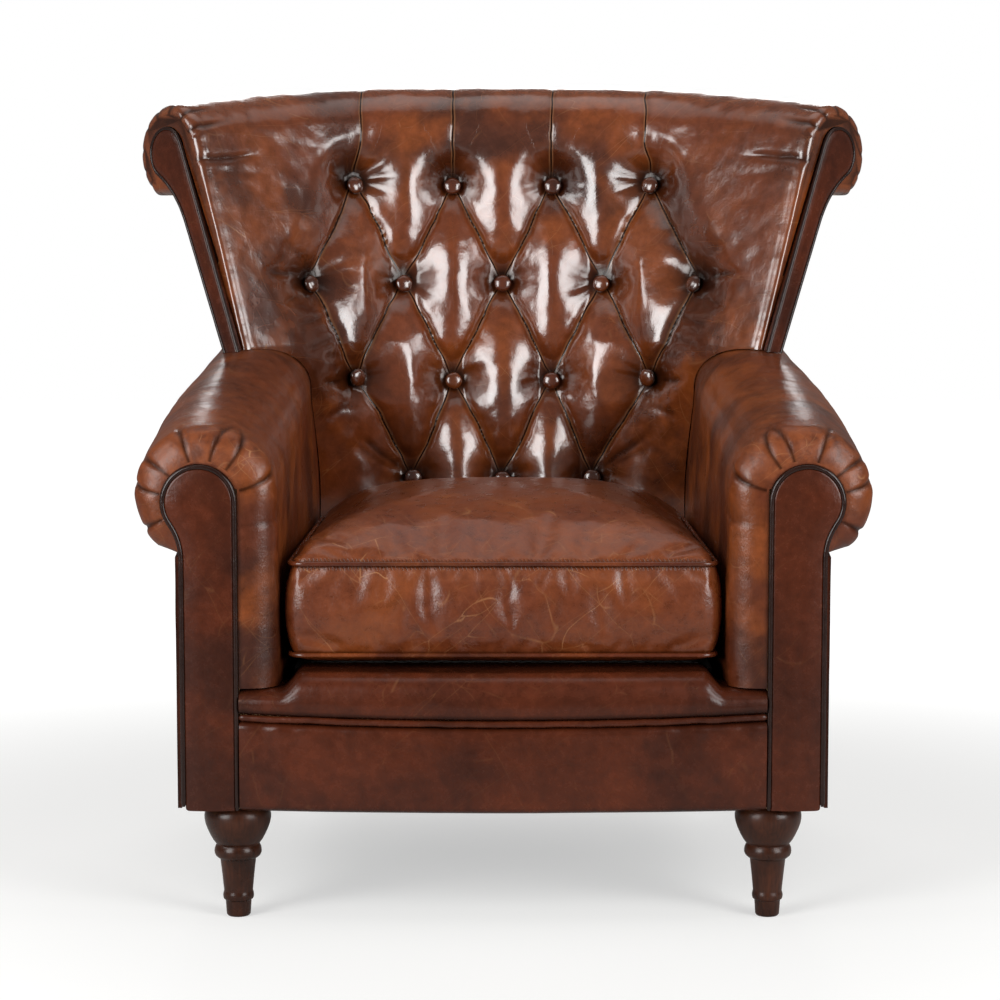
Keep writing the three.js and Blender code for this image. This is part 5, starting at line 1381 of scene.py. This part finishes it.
class ARMCHAIR_OT_facings(bpy.types.Operator):
    """Make the arm and wing facings with their piping"""

    bl_idname = "armchair.facings"
    bl_label = "Facings and Piping"

    def execute(self, context):
        scene = context.scene
        arms, wings = scene.armchair_arms, scene.armchair_wings
        for name, side in SIDES:
            kinds = (
                ("arm", arm_spec(arms), arm_place(arms, side), arms.facing, arms.welt, 0.0022),
                ("wing", wing_spec(wings), wing_place(scene, side), wings.thickness, wings.welt, 0.0012),
            )
            for kind, spec, place, thickness, welt, puff in kinds:
                board = link_mesh(f"{kind}_front_{name}",
                                  *facing_body(spec, place, thickness - 0.001, 2 * welt - 0.0008, puff))
                cord = link_mesh(f"{kind}_piping_{name}",
                                 *tube_on_outline(spec, place, welt, thickness - welt))
                if kind == "wing":
                    for piece in (board, cord):
                        carve(piece, arm_cutter(scene, side))
                dress(board, "panel", "panel_leather", CHAIR, f"{kind}_facing_{name}")
                dress(cord, "piping", "piping_leather", CHAIR, f"{kind}_welt_{name}")
        return {"FINISHED"}


class ARMCHAIR_OT_cushion(bpy.types.Operator):
    """Make the loose seat cushion with its piping and zip"""

    bl_idname = "armchair.cushion"
    bl_label = "Seat Cushion"

    def execute(self, context):
        scene = context.scene
        c, seat_width = scene.armchair_cushion, scene.armchair_arms.seat_width
        _, low, high = cushion_levels(c)
        cover = link_mesh("cushion_cover", *cushion_body(c, seat_width))

        def held(points):
            near = np.minimum(np.abs(points[:, 2] - low), np.abs(points[:, 2] - high))
            edge = self.to_edge(c, seat_width, points)
            seam = (1 - smooth(near / 0.008)) * (1 - smooth(edge / 0.012))
            return np.maximum(seam, (points[:, 2] < low - 0.002) * 1.0)

        remesh = cover.modifiers.new("remesh", "REMESH")
        remesh.mode = "VOXEL"
        remesh.voxel_size = c.voxel
        apply_modifiers(cover)
        stuff(cover, c, held)
        cover.modifiers.new("smooth", "SUBSURF").levels = 1
        apply_modifiers(cover)
        self.crumple(cover, c, seat_width, low, high)
        cover.data.shade_smooth()
        dress(cover, "cushion", "cushion_leather", CUSHION, "seat_cushion_cover")
        for name, z in (("top", high), ("bottom", low)):
            path = rounded_ring(c, seat_width, 1, z, 0.0016, 480)
            piping = link_mesh(f"cushion_piping_{name}", *piping_body(path, c.welt, 0.01, 9, closed=True))
            dress(piping, "cushion_piping", "cushion_leather", CUSHION, f"cushion_welt_{name}")
        self.make_zip((low + high) / 2)
        self.make_core(c, seat_width)
        return {"FINISHED"}

    def make_core(self, c, seat_width):
        """The foam inside the cover: a cut block with softened edges and a domed top."""
        foot, low, high = cushion_levels(c)
        inset = 0.009
        rings = []
        count = 200
        for part in (0.04, 0.5, 0.9, 0.97, 1):
            z = foot + inset + 0.5 * (low - foot) * part ** 8
            rings.append(rounded_ring(c, seat_width, part, z, -inset, count))
        for part in np.linspace(0.04, 0.96, 12):
            edge = 0.003 * (abs(part - 0.5) * 2) ** 6
            z = mix(low + inset, high - inset, part)
            rings.append(rounded_ring(c, seat_width, 1, z, -inset - edge, count))
        for part in (0.99, 0.96, 0.9, 0.82, 0.7, 0.56, 0.4, 0.22, 0.05):
            z = high - inset + crown_rise(c, part)
            rings.append(rounded_ring(c, seat_width, part, z, -inset, count))
        points, faces = ring_body(rings)
        points = points + 0.0008 * wrinkles(points, 0.05, 95)[:, None]
        core = link_mesh("foam_core", points, faces)
        dress(core, "foam", "cushion_foam", CUSHION, "seat_cushion_core")

    def to_edge(self, c, seat_width, points):
        """Distance inwards from the cushion's outline, seen from above."""
        middle = FRONT + c.front + c.depth / 2
        half = seat_width / 2 - c.side_gap
        return np.minimum(half - np.abs(points[:, 0]), c.depth / 2 - np.abs(points[:, 1] - middle))

    def crumple(self, cover, c, seat_width, low, high):
        """Small puckers along the seams and soft dents, with the fold and rub values of the leather."""
        points, normals = read(cover.data, "co"), read(cover.data, "normal")
        edge = np.maximum(0, self.to_edge(c, seat_width, points))
        near = np.minimum(np.hypot(points[:, 2] - high, edge), np.hypot(points[:, 2] - low, edge))
        pucker = np.exp(-(near / 0.014) ** 2)
        sink = 0.0007 * pucker * noise(points, 0.011, 51)
        sink += 0.0012 * wrinkles(points, 0.1, 53) + 0.0004 * wrinkles(points, 0.035, 57)
        sink = np.where(points[:, 2] < low - 0.004, 0, sink)
        points -= normals * sink[:, None]
        cover.data.vertices.foreach_set("co", points.ravel())
        # Painted shade along the seams, beside the piping.
        fold = 0.8 * np.exp(-(np.maximum(0, near - 0.002) / 0.003) ** 2)
        rub = np.exp(-(near / 0.03) ** 2) * 0.6 * (points[:, 2] > high - 0.02) + 0.25
        seam = (near < 0.0065) * (points[:, 2] > high - 0.012) * (edge < 0.006)
        mark(cover.data, {"fold": fold, "rub": rub, "seam": seam})
        cover.data.update()

    def make_zip(self, middle):
        """A coil zip on its tape across the back of the cushion."""
        low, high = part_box("cushion_zip")
        across, up = np.meshgrid(np.linspace(low.x, high.x, 60), np.linspace(low.z, high.z, 5))
        rear = high.y - 0.0012 + 0.0006 * np.cos((up - middle) / (high.z - low.z) * math.pi)
        front = np.stack([across, rear, up], -1)
        back = np.stack([across, np.full_like(across, low.y + 0.001), up], -1)
        points, faces = slab_body(front, back)
        points, faces = list(points), list(faces)
        teeth = np.arange(low.x + 0.006, high.x - 0.006, 0.003)
        for index, tooth in enumerate(teeth):
            height = middle + (0.0012 if index % 2 else -0.0012)
            first = len(points)
            for up in (-1, 1):
                for right, out in ((-1, -1), (1, -1), (1, 1), (-1, 1)):
                    points.append([tooth + 0.0009 * right, high.y - 0.0002 + 0.0006 * out,
                                   height + 0.0022 * up])
            faces += [[first + i for i in face] for face in
                      ((0, 3, 2, 1), (4, 5, 6, 7), (0, 1, 5, 4), (2, 3, 7, 6), (1, 2, 6, 5), (3, 0, 4, 7))]
        piece = link_mesh("cushion_coil_zip", np.array(points), faces, 30)
        dress(piece, "zip", "zip_tape", CUSHION, "cushion_zip")


class ARMCHAIR_OT_front(bpy.types.Operator):
    """Make the lip, its piping and the rail cover"""

    bl_idname = "armchair.front"
    bl_label = "Front Rail"

    def execute(self, context):
        scene = context.scene
        f, arms = scene.armchair_front, scene.armchair_arms
        half = arms.seat_width / 2 + arms.wall - GAP
        rail = FRONT + f.rail_front
        x = np.linspace(-half, half, 220)
        bow = f.bow * (1 - (x / half) ** 2)
        sag = f.sag * (1 - (x / half) ** 2)
        welt_z = FRAME_BOTTOM + f.cover_height + GAP + f.welt
        self.make_cover(f, x, bow, sag, rail)
        path = np.stack([x, rail - f.cover_depth - bow + f.welt, welt_z - sag], -1)
        path[:, 2] += 0.0007 * noise(path, 0.02, 61)
        piping = link_mesh("front_piping", *piping_body(path, f.welt, 0.01, 62))
        dress(piping, "panel", "panel_leather", CHAIR, "front_rail_welt")
        self.make_lip(f, arms, x, bow, sag, rail, welt_z + f.welt + GAP)
        return {"FINISHED"}

    def make_cover(self, f, x, bow, sag, rail):
        """The rail cover, drawn in under its piping, with shallow puckers there."""
        top = FRAME_BOTTOM + f.cover_height - sag
        rings = []
        for place, forward, high in zip(x, bow, top):
            front = rail - f.cover_depth - forward
            section = [(rail - GAP, FRAME_BOTTOM)]
            for t in np.linspace(0, 1, 40):
                z = mix(FRAME_BOTTOM, high, t)
                edge = 0.006 * (max(0, 1 - t * 16) ** 2 + max(0, 1 - (1 - t) * 14) ** 2)
                puff = 0.0014 * math.sin(math.pi * t) ** 0.5
                pucker = 0.0016 * math.exp(-(1 - t) * 6) * float(noise([[place, 0, 1.0]], 0.017, 71)[0])
                soft = 0.0013 * float(wrinkles([[place, 0, z]], 0.11, 73)[0])
                section.append((front + edge - puff + pucker + soft, z))
            section.append((rail - GAP, high))
            rings.append([[place, y, z] for y, z in section])
        points, faces = ring_body(rings)
        # Painted shade under the piping.
        fold = np.tile(np.concatenate([[0], np.exp(-(1 - np.linspace(0, 1, 40)) * 40), [1]]), len(x))
        cover = link_mesh("rail_cover", points, faces, shades={"fold": 0.8 * fold, "rub": 0 * fold})
        dress(cover, "panel", "panel_leather", CHAIR, "front_rail_cover")

    def make_lip(self, f, arms, x, bow, sag, rail, bottom):
        """The padded lip under the cushion, lower where it runs in under the arms."""
        inner = arms.seat_width / 2
        bend = inner - f.shoulder
        rear = rail + f.lip_depth
        deck_foot = DECK_TOP - 0.0357
        rings = []
        for place, forward, drop in zip(x, bow, sag):
            outward = smooth((abs(place) - bend) / (inner - GAP - bend))
            top = bottom + f.lip_height - f.side_drop * outward
            front = rail - f.cover_depth - f.lip_front - forward
            low = bottom - drop
            soft = 0.0012 * float(wrinkles([[place, 0, 0.5]], 0.09, 81)[0])
            section = [(rail - GAP, low), (front + 0.006, low), (front + 0.0022, low + 0.002),
                       (front, low + 0.007)]
            middle = (low + top) / 2
            section.append((front - 0.0008, middle - 0.002))
            for a in np.linspace(0, math.pi / 2, 12):
                section.append((front + 0.0282 * (1 - math.cos(a)) + soft,
                                middle + (top - middle) * math.sin(a) - 0.0004))
            section += [(rail + 0.025, top - 0.0004), (rear, top - 0.0004), (rear, deck_foot),
                        (rail - GAP, deck_foot)]
            rings.append([[place, y, z] for y, z in section])
        points, faces = ring_body(rings)
        count = len(rings[0])
        # Painted shade where the lip sits on its piping, and over its top and rear under the cushion.
        fold = np.zeros(count)
        fold[:3] = (1, 1, 0.7)
        fold[-5:] = 0.4
        rub = np.zeros(count)
        rub[6:12] = 0.25
        lip = link_mesh("padded_lip", points, faces,
                        shades={"fold": np.tile(fold, len(x)), "rub": np.tile(rub, len(x))})
        dress(lip, "panel", "panel_leather", CHAIR, "seat_lip")


class ARMCHAIR_OT_shell(bpy.types.Operator):
    """Make the outside panels of the arms, wings and back"""

    bl_idname = "armchair.shell"
    bl_label = "Outside Panels"

    def execute(self, context):
        scene = context.scene
        self.make_back(scene)
        for name, side in SIDES:
            self.make_arm(scene, name, side)
            self.make_wing(scene, name, side)
        return {"FINISHED"}

    def panel(self, name, front, out, thickness, node, puff=0.0022, proud=-0.0012):
        """A leather panel pulled over its edges: a slab with a soft face."""
        rows, columns = front.shape[:2]
        u, v = unit_grid(rows, columns)
        rim = to_rim(u, v, 18, 18)
        lift = -0.0015 * (1 - smooth(rim)) + puff * np.sin(np.pi * u) * np.sin(np.pi * v)
        lift += 0.0009 * wrinkles(front, 0.12, len(name))
        face = front + out * (lift + proud)[..., None]
        points, faces = slab_body(face, front - out * thickness)
        # Painted shade along the panel's rim.
        fold = np.concatenate([(0.5 * (1 - smooth(rim))).ravel(), np.zeros(rows * columns)])
        piece = link_mesh(name, points, faces, shades={"fold": fold, "rub": 0 * fold})
        dress(piece, "panel", "panel_leather", CHAIR, node)
        return piece

    def make_back(self, scene):
        """The outside back, which narrows under the roll."""
        s, b = scene.armchair_shell, scene.armchair_back
        foot = FRAME_BOTTOM + s.lift
        arms = scene.armchair_arms
        hollow = arms.seat_width / 2 + arms.wall + arms.box_width
        u = np.linspace(-1, 1, 60)
        top_x = s.top_half * u
        _, radius, level, _, _ = back_roll(b, top_x / back_half_span(b, b.roll_level))
        top = level + radius * math.sin(ROLL_END) - 0.0015
        rows = []
        for t in np.linspace(0, 1, 70):
            z = mix(foot, top, t)
            half = np.interp(z, [foot, s.shoulder, s.wing_level, top.min()],
                             [hollow, hollow, s.wing_half, s.top_half])
            rows.append(np.stack([u * half, outside_rear(s, z), z], -1))
        rows = np.array(rows)
        self.panel("outside_back_panel", rows, np.array([0, 1.0, 0]), s.thickness, "outside_back", 0.004)
        for (name, _), edge in zip(SIDES, (rows[:, 0], rows[:, -1])):
            path = np.array([[np.interp(t, np.linspace(0, 1, len(edge)), edge[:, axis]) for axis in range(3)]
                             for t in np.linspace(0.004, 0.996, 260)])
            soften(path, 4)
            piping = link_mesh(f"back_edge_piping_{name}", *piping_body(path, 0.0032, 0.01, 63))
            dress(piping, "piping", "piping_leather", CHAIR)

    def make_arm(self, scene, name, side):
        """The outside of an arm, from the facing to the back, up to the neck of the roll."""
        s, arms = scene.armchair_shell, scene.armchair_arms
        start = FRONT + 0.0122
        foot = FRAME_BOTTOM + s.lift
        x = arms.seat_width / 2 + arms.wall + arms.box_width + GAP + s.thickness
        end = inside_rear(s, arm_neck(arms, FRONT + s.rear_foot) - GAP)
        lean = end - inside_rear(s, arms.foot)
        part = np.linspace(0, 1, 40)
        rows = []
        for t in np.linspace(0, 1, 90):
            y_low = mix(start, inside_rear(s, foot), t)
            y_high = mix(start, end, t)
            z_high = arm_neck(arms, y_high - lean * t) - 3 * GAP
            rows.append(np.stack([np.full(40, x), mix(y_low, y_high, part), mix(foot, z_high, part)], -1))
        grid = np.array(rows) * np.array([side, 1, 1])
        self.panel(f"outside_arm_panel_{name}", grid, np.array([side, 0, 0.0]), s.thickness,
                   f"outside_arm_{name}", 0.004, 0.0012)

    def make_wing(self, scene, name, side):
        """The outside of a wing, from the outside back's edge to the facing."""
        s, b, w = scene.armchair_shell, scene.armchair_back, scene.armchair_wings
        place = wing_place(scene, 1)
        _, radius, level, _, _ = back_roll(b, [1.0, s.top_half / back_half_span(b, b.roll_level)])
        under = level + radius * math.sin(ROLL_END) - 0.0015
        rows = []
        for part in np.linspace(0, 1, 40):
            front_z = mix(s.wing_level - 0.04, under[0], part)
            rear_z = mix(s.wing_level + 0.04, under[1], part)
            drop = front_z - level[0]
            out = -w.outer_foot + (drop + w.foot_drop) * w.outer_run
            front = place(np.array([[out, drop]]), -GAP)[0]
            half = mix(s.wing_half, s.top_half, (rear_z - s.wing_level) / (under[1] - s.wing_level))
            rear = np.array([half, inside_rear(s, rear_z), rear_z])
            rows.append(mix(rear, front, np.linspace(0, 1, 50)[:, None]))
        grid = np.array(rows)
        run = grid[:, -1] - grid[:, 0]
        run[:, 2] = 0
        run /= np.linalg.norm(run, axis=1, keepdims=True)
        out = np.stack([-run[:, 1], run[:, 0], np.zeros(len(run))], -1)[:, None] * np.array([side, 1, 1])
        piece = self.panel(f"outside_wing_panel_{name}", grid * np.array([side, 1, 1]), out, s.thickness,
                           f"outside_wing_{name}", 0.003)
        carve(piece, arm_cutter(scene, side))


def arm_neck(s, y):
    """Height of the arm roll's neck."""
    return arm_centre(s, y)[1] - s.neck * arm_radius(s, y) / s.roll


# Radius and height up the front leg: foot, ring, tapered shaft, collar and bulb.
LEG_PROFILE = ((0.0105, 0), (0.0125, 0.0006), (0.0138, 0.0024), (0.0141, 0.006), (0.0149, 0.0186),
               (0.0155, 0.0192), (0.0171, 0.0205), (0.0177, 0.0226), (0.0178, 0.0248), (0.0174, 0.0272),
               (0.0168, 0.0292), (0.01665, 0.0305), (0.0186, 0.05), (0.0206, 0.0675), (0.021, 0.0682),
               (0.0232, 0.0692), (0.0258, 0.0715), (0.027, 0.0742), (0.02725, 0.0768), (0.0268, 0.0802),
               (0.0258, 0.0828), (0.0246, 0.0846), (0.0246, 0.0852), (0.0256, 0.0862), (0.0288, 0.0905),
               (0.0322, 0.0968), (0.0352, 0.1035), (0.0373, 0.1095), (0.0383, 0.1148), (0.0384, 0.119),
               (0.0376, 0.1235), (0.0362, 0.1268), (0.0345, 0.1296), (0.0331, FRAME_BOTTOM))


class ARMCHAIR_OT_legs(bpy.types.Operator):
    """Make the turned front legs and finish the rear ones"""

    bl_idname = "armchair.legs"
    bl_label = "Legs"

    def execute(self, context):
        s = context.scene.armchair_legs
        for name, side in SIDES:
            rings = [circle(side * s.across / 2, FRONT + s.set_back, radius, z, s.sides)
                     for radius, z in LEG_PROFILE]
            leg = link_mesh(f"turned_leg_{name}", *ring_body(rings), crease_degrees=32)
            dress(leg, "leg", "leg_wood", CHAIR, f"front_leg_{name}")
            repaint(f"rear_leg_{name}", "leg")
        return {"FINISHED"}


class ARMCHAIR_OT_frame(bpy.types.Operator):
    """Finish the timber, springs, deck and dust cover that the leather hides"""

    bl_idname = "armchair.frame"
    bl_label = "Hidden Frame"

    def execute(self, context):
        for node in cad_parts:
            if node.startswith(("arm_post", "arm_rail", "back_post", "wing_frame")) or node.endswith(
                    ("seat_rail", "top_rail")):
                repaint(node, "timber")
        repaint("seat_spring_unit", "steel")
        self.make_deck()
        self.make_dust_cover()
        return {"FINISHED"}

    def make_deck(self):
        """The deck: wadding under black cloth, tight at its edges and soft in the middle."""
        low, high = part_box("seat_deck")
        u, v = unit_grid(60, 60)
        across, deep = mix(low.x, high.x, u), mix(low.y, high.y, v)
        top = high.z - 0.001 - 0.008 * (1 - smooth(to_rim(u, v, 14, 14)))
        grid = np.stack([across, deep, top], -1)
        grid[..., 2] -= 0.0012 * (1 + wrinkles(grid, 0.08, 91))
        under = np.stack([across, deep, np.full_like(across, low.z)], -1)
        deck = link_mesh("cloth_deck", *slab_body(grid, under))
        dress(deck, "cloth", "black_cloth", CHAIR, "seat_deck")

    def make_dust_cover(self):
        """Black cambric, tacked under the frame with its edge turned in, and cut out round the legs."""
        low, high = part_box("dust_cover")
        hem = 0.016
        u, v = unit_grid(90, 90)
        wide, deep = high.x - low.x, high.y - low.y
        rim = to_rim(u, v, wide, deep)
        top = np.stack([mix(low.x, high.x, u), mix(low.y, high.y, v), np.full_like(u, high.z)], -1)
        under = top.copy()
        under[..., 2] = low.z + 0.0005 * smooth((rim - hem) / 0.004)
        slack = smooth((rim - hem) / 0.12) * (0.0018 + 0.0012 * wrinkles(top, 0.09, 93))
        for grid in (top, under):
            grid[..., 2] -= slack
        cloth = link_mesh("cambric_dust_cover", *slab_body(top, under))
        area = wide * deep
        legs = bpy.context.scene.armchair_legs
        radius = 0.0388
        levels = (high.z - 0.02, high.z + 0.02)
        for name, side in SIDES:
            leg_hole = [circle(side * legs.across / 2, FRONT + legs.set_back, radius, z, 60) for z in levels]
            near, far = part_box(f"rear_leg_{name}")
            post_low, post_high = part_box(f"back_post_{name}")
            left, right = min(near.x, post_low.x) - 0.001, max(far.x, post_high.x) + 0.001
            front, rear = post_low.y - 0.001, max(far.y, high.y + 0.01)
            post_hole = [[(left, front, z), (right, front, z), (right, rear, z), (left, rear, z)]
                         for z in levels]
            carve(cloth, link_mesh("leg_hole", *ring_body(leg_hole)),
                  link_mesh("post_hole", *ring_body(post_hole)))
            area -= math.pi * radius ** 2 + (right - left) * (min(rear, high.y) - front)
        dress(cloth, "cloth", "black_cloth", CHAIR, "dust_cover")


class ARMCHAIR_OT_stage(bpy.types.Operator):
    """Set up the camera, the soft lights and the pale floor"""

    bl_idname = "armchair.stage"
    bl_label = "Stage"

    def execute(self, context):
        scene = context.scene
        s = scene.armchair_stage
        camera = bpy.data.objects.new("camera", bpy.data.cameras.new("camera"))
        camera.location = (-s.aside, FRONT - s.distance, s.height)
        camera.rotation_euler = (math.pi / 2 - s.pitch, 0, 0)
        camera.data.lens = s.lens
        camera.data.sensor_width = 36
        camera.data.clip_end = 60
        scene.collection.objects.link(camera)
        scene.camera = camera
        scene.view_settings.view_transform = "Standard"
        self.make_floor(s)
        self.make_world(scene)
        lights = (
            ("left_softbox", (-1.85, -2.1, 1.35), (0, 0, 0.65), 1.3, 1.9, 22),
            ("right_softbox", (1.95, -2.0, 1.35), (0, 0, 0.65), 1.2, 1.9, 19),
            ("left_wing_softbox", (-2.3, -0.7, 1.9), (0, 0, 0.8), 0.7, 0.7, 3),
            ("right_wing_softbox", (2.3, -0.7, 1.9), (0, 0, 0.8), 0.7, 0.7, 3),
            ("top_softbox", (0, 0.2, 2.6), (0, 0, 0.5), 2.4, 1.4, 3),
            ("rear_softbox", (0, 2.7, 1.7), (0, 0, 0.5), 1.8, 1.2, 9),
        )
        for name, place, target, wide, high, power in lights:
            lamp = bpy.data.lights.new(name, "AREA")
            lamp.shape = "RECTANGLE"
            lamp.size, lamp.size_y, lamp.energy = wide, high, power
            lamp.spread = math.radians(100)  # a grid on each softbox keeps its light off the floor
            light = bpy.data.objects.new(name, lamp)
            light.location = place
            aim = np.array(target) - np.array(place)
            light.rotation_euler = (math.pi / 2 + math.atan2(aim[2], math.hypot(aim[0], aim[1])), 0,
                                    math.atan2(-aim[0], aim[1]))
            scene.collection.objects.link(light)
        return {"FINISHED"}

    def make_floor(self, s):
        """A plain pale floor. The camera sees it a little lighter, and it keeps the chair's shadow.

        Reflections take a tenth of what the camera is given, so that the dark leather keeps its depth.
        """
        size = 9
        floor = link_mesh("floor", np.array([[-size, -size, 0], [size, -size, 0], [size, size, 0],
                                             [-size, size, 0.0]]), [[0, 1, 2, 3]])
        material, tree = blank_material("painted_floor_matt")
        seen = seen_share(tree, 0.1)
        place = add(tree, "TexCoord", out="Object")
        far = add(tree, "VectorMath", {0: place}, out="Value", operation="LENGTH")
        far = add(tree, "MapRange", {0: far, 1: 0.6, 2: 2.0, 3: 0.5, 4: 1.0},
                  interpolation_type="SMOOTHSTEP")
        lift = add(tree, "Math", {0: seen, 1: far}, operation="MULTIPLY")
        plain = add(tree, "BsdfPrincipled", {"Base Color": rgba(s.floor), "Roughness": 0.9})
        glow = add(tree, "Emission", {"Color": (1, 1, 1, 1), "Strength": lift})
        both = add(tree, "AddShader", {0: plain, 1: glow})
        add(tree, "OutputMaterial", {"Surface": both})
        floor.data.materials.append(material)

    def make_world(self, scene):
        """A pale studio: white to the camera, softer as light."""
        world = bpy.data.worlds.new("pale_studio")
        world.use_nodes = True
        tree = world.node_tree
        tree.nodes.clear()
        seen = seen_share(tree, 0.02)
        strength = add(tree, "MapRange", {"Value": seen, "To Min": 0.14, "To Max": 1.0})
        back = add(tree, "Background", {"Color": (1, 1, 1, 1), "Strength": strength})
        add(tree, "OutputWorld", {"Surface": back})
        scene.world = world


GROUPS = {
    "armchair_back": ArmchairBack,
    "armchair_arms": ArmchairArms,
    "armchair_wings": ArmchairWings,
    "armchair_cushion": ArmchairCushion,
    "armchair_front": ArmchairFront,
    "armchair_shell": ArmchairShell,
    "armchair_legs": ArmchairLegs,
    "armchair_finish": ArmchairFinish,
    "armchair_stage": ArmchairStage,
}
OPERATORS = (ARMCHAIR_OT_stage, ARMCHAIR_OT_frame, ARMCHAIR_OT_legs, ARMCHAIR_OT_front, ARMCHAIR_OT_shell,
             ARMCHAIR_OT_arms, ARMCHAIR_OT_facings, ARMCHAIR_OT_back, ARMCHAIR_OT_buttons,
             ARMCHAIR_OT_cushion)


class ARMCHAIR_PT_sidebar(bpy.types.Panel):
    """Sizes, colours and steps of the armchair"""

    bl_idname = "ARMCHAIR_PT_sidebar"
    bl_label = "Leather Club Armchair"
    bl_space_type = "VIEW_3D"
    bl_region_type = "UI"
    bl_category = "Armchair"

    def draw(self, context):
        for operator in OPERATORS:
            self.layout.operator(operator.bl_idname)
        for key, group in GROUPS.items():
            box = self.layout.box()
            box.label(text=group.__doc__)
            for name in group.__annotations__:
                box.prop(getattr(context.scene, key), name)


def register():
    """Registers the classes and hangs the settings on the scene."""
    for key, group in GROUPS.items():
        bpy.utils.register_class(group)
        setattr(bpy.types.Scene, key, PointerProperty(type=group))
    for item in (*OPERATORS, ARMCHAIR_PT_sidebar):
        bpy.utils.register_class(item)


def unregister():
    """Takes the classes and the settings away again."""
    for item in reversed((*OPERATORS, ARMCHAIR_PT_sidebar)):
        bpy.utils.unregister_class(item)
    for key, group in reversed(GROUPS.items()):
        delattr(bpy.types.Scene, key)
        bpy.utils.unregister_class(group)


def main():
    """Makes every piece in order."""
    register()
    for operator in OPERATORS:
        group, name = operator.bl_idname.split(".")
        getattr(getattr(bpy.ops, group), name)()
    bpy.context.view_layer.update()


if __name__ == "__main__":
    main()
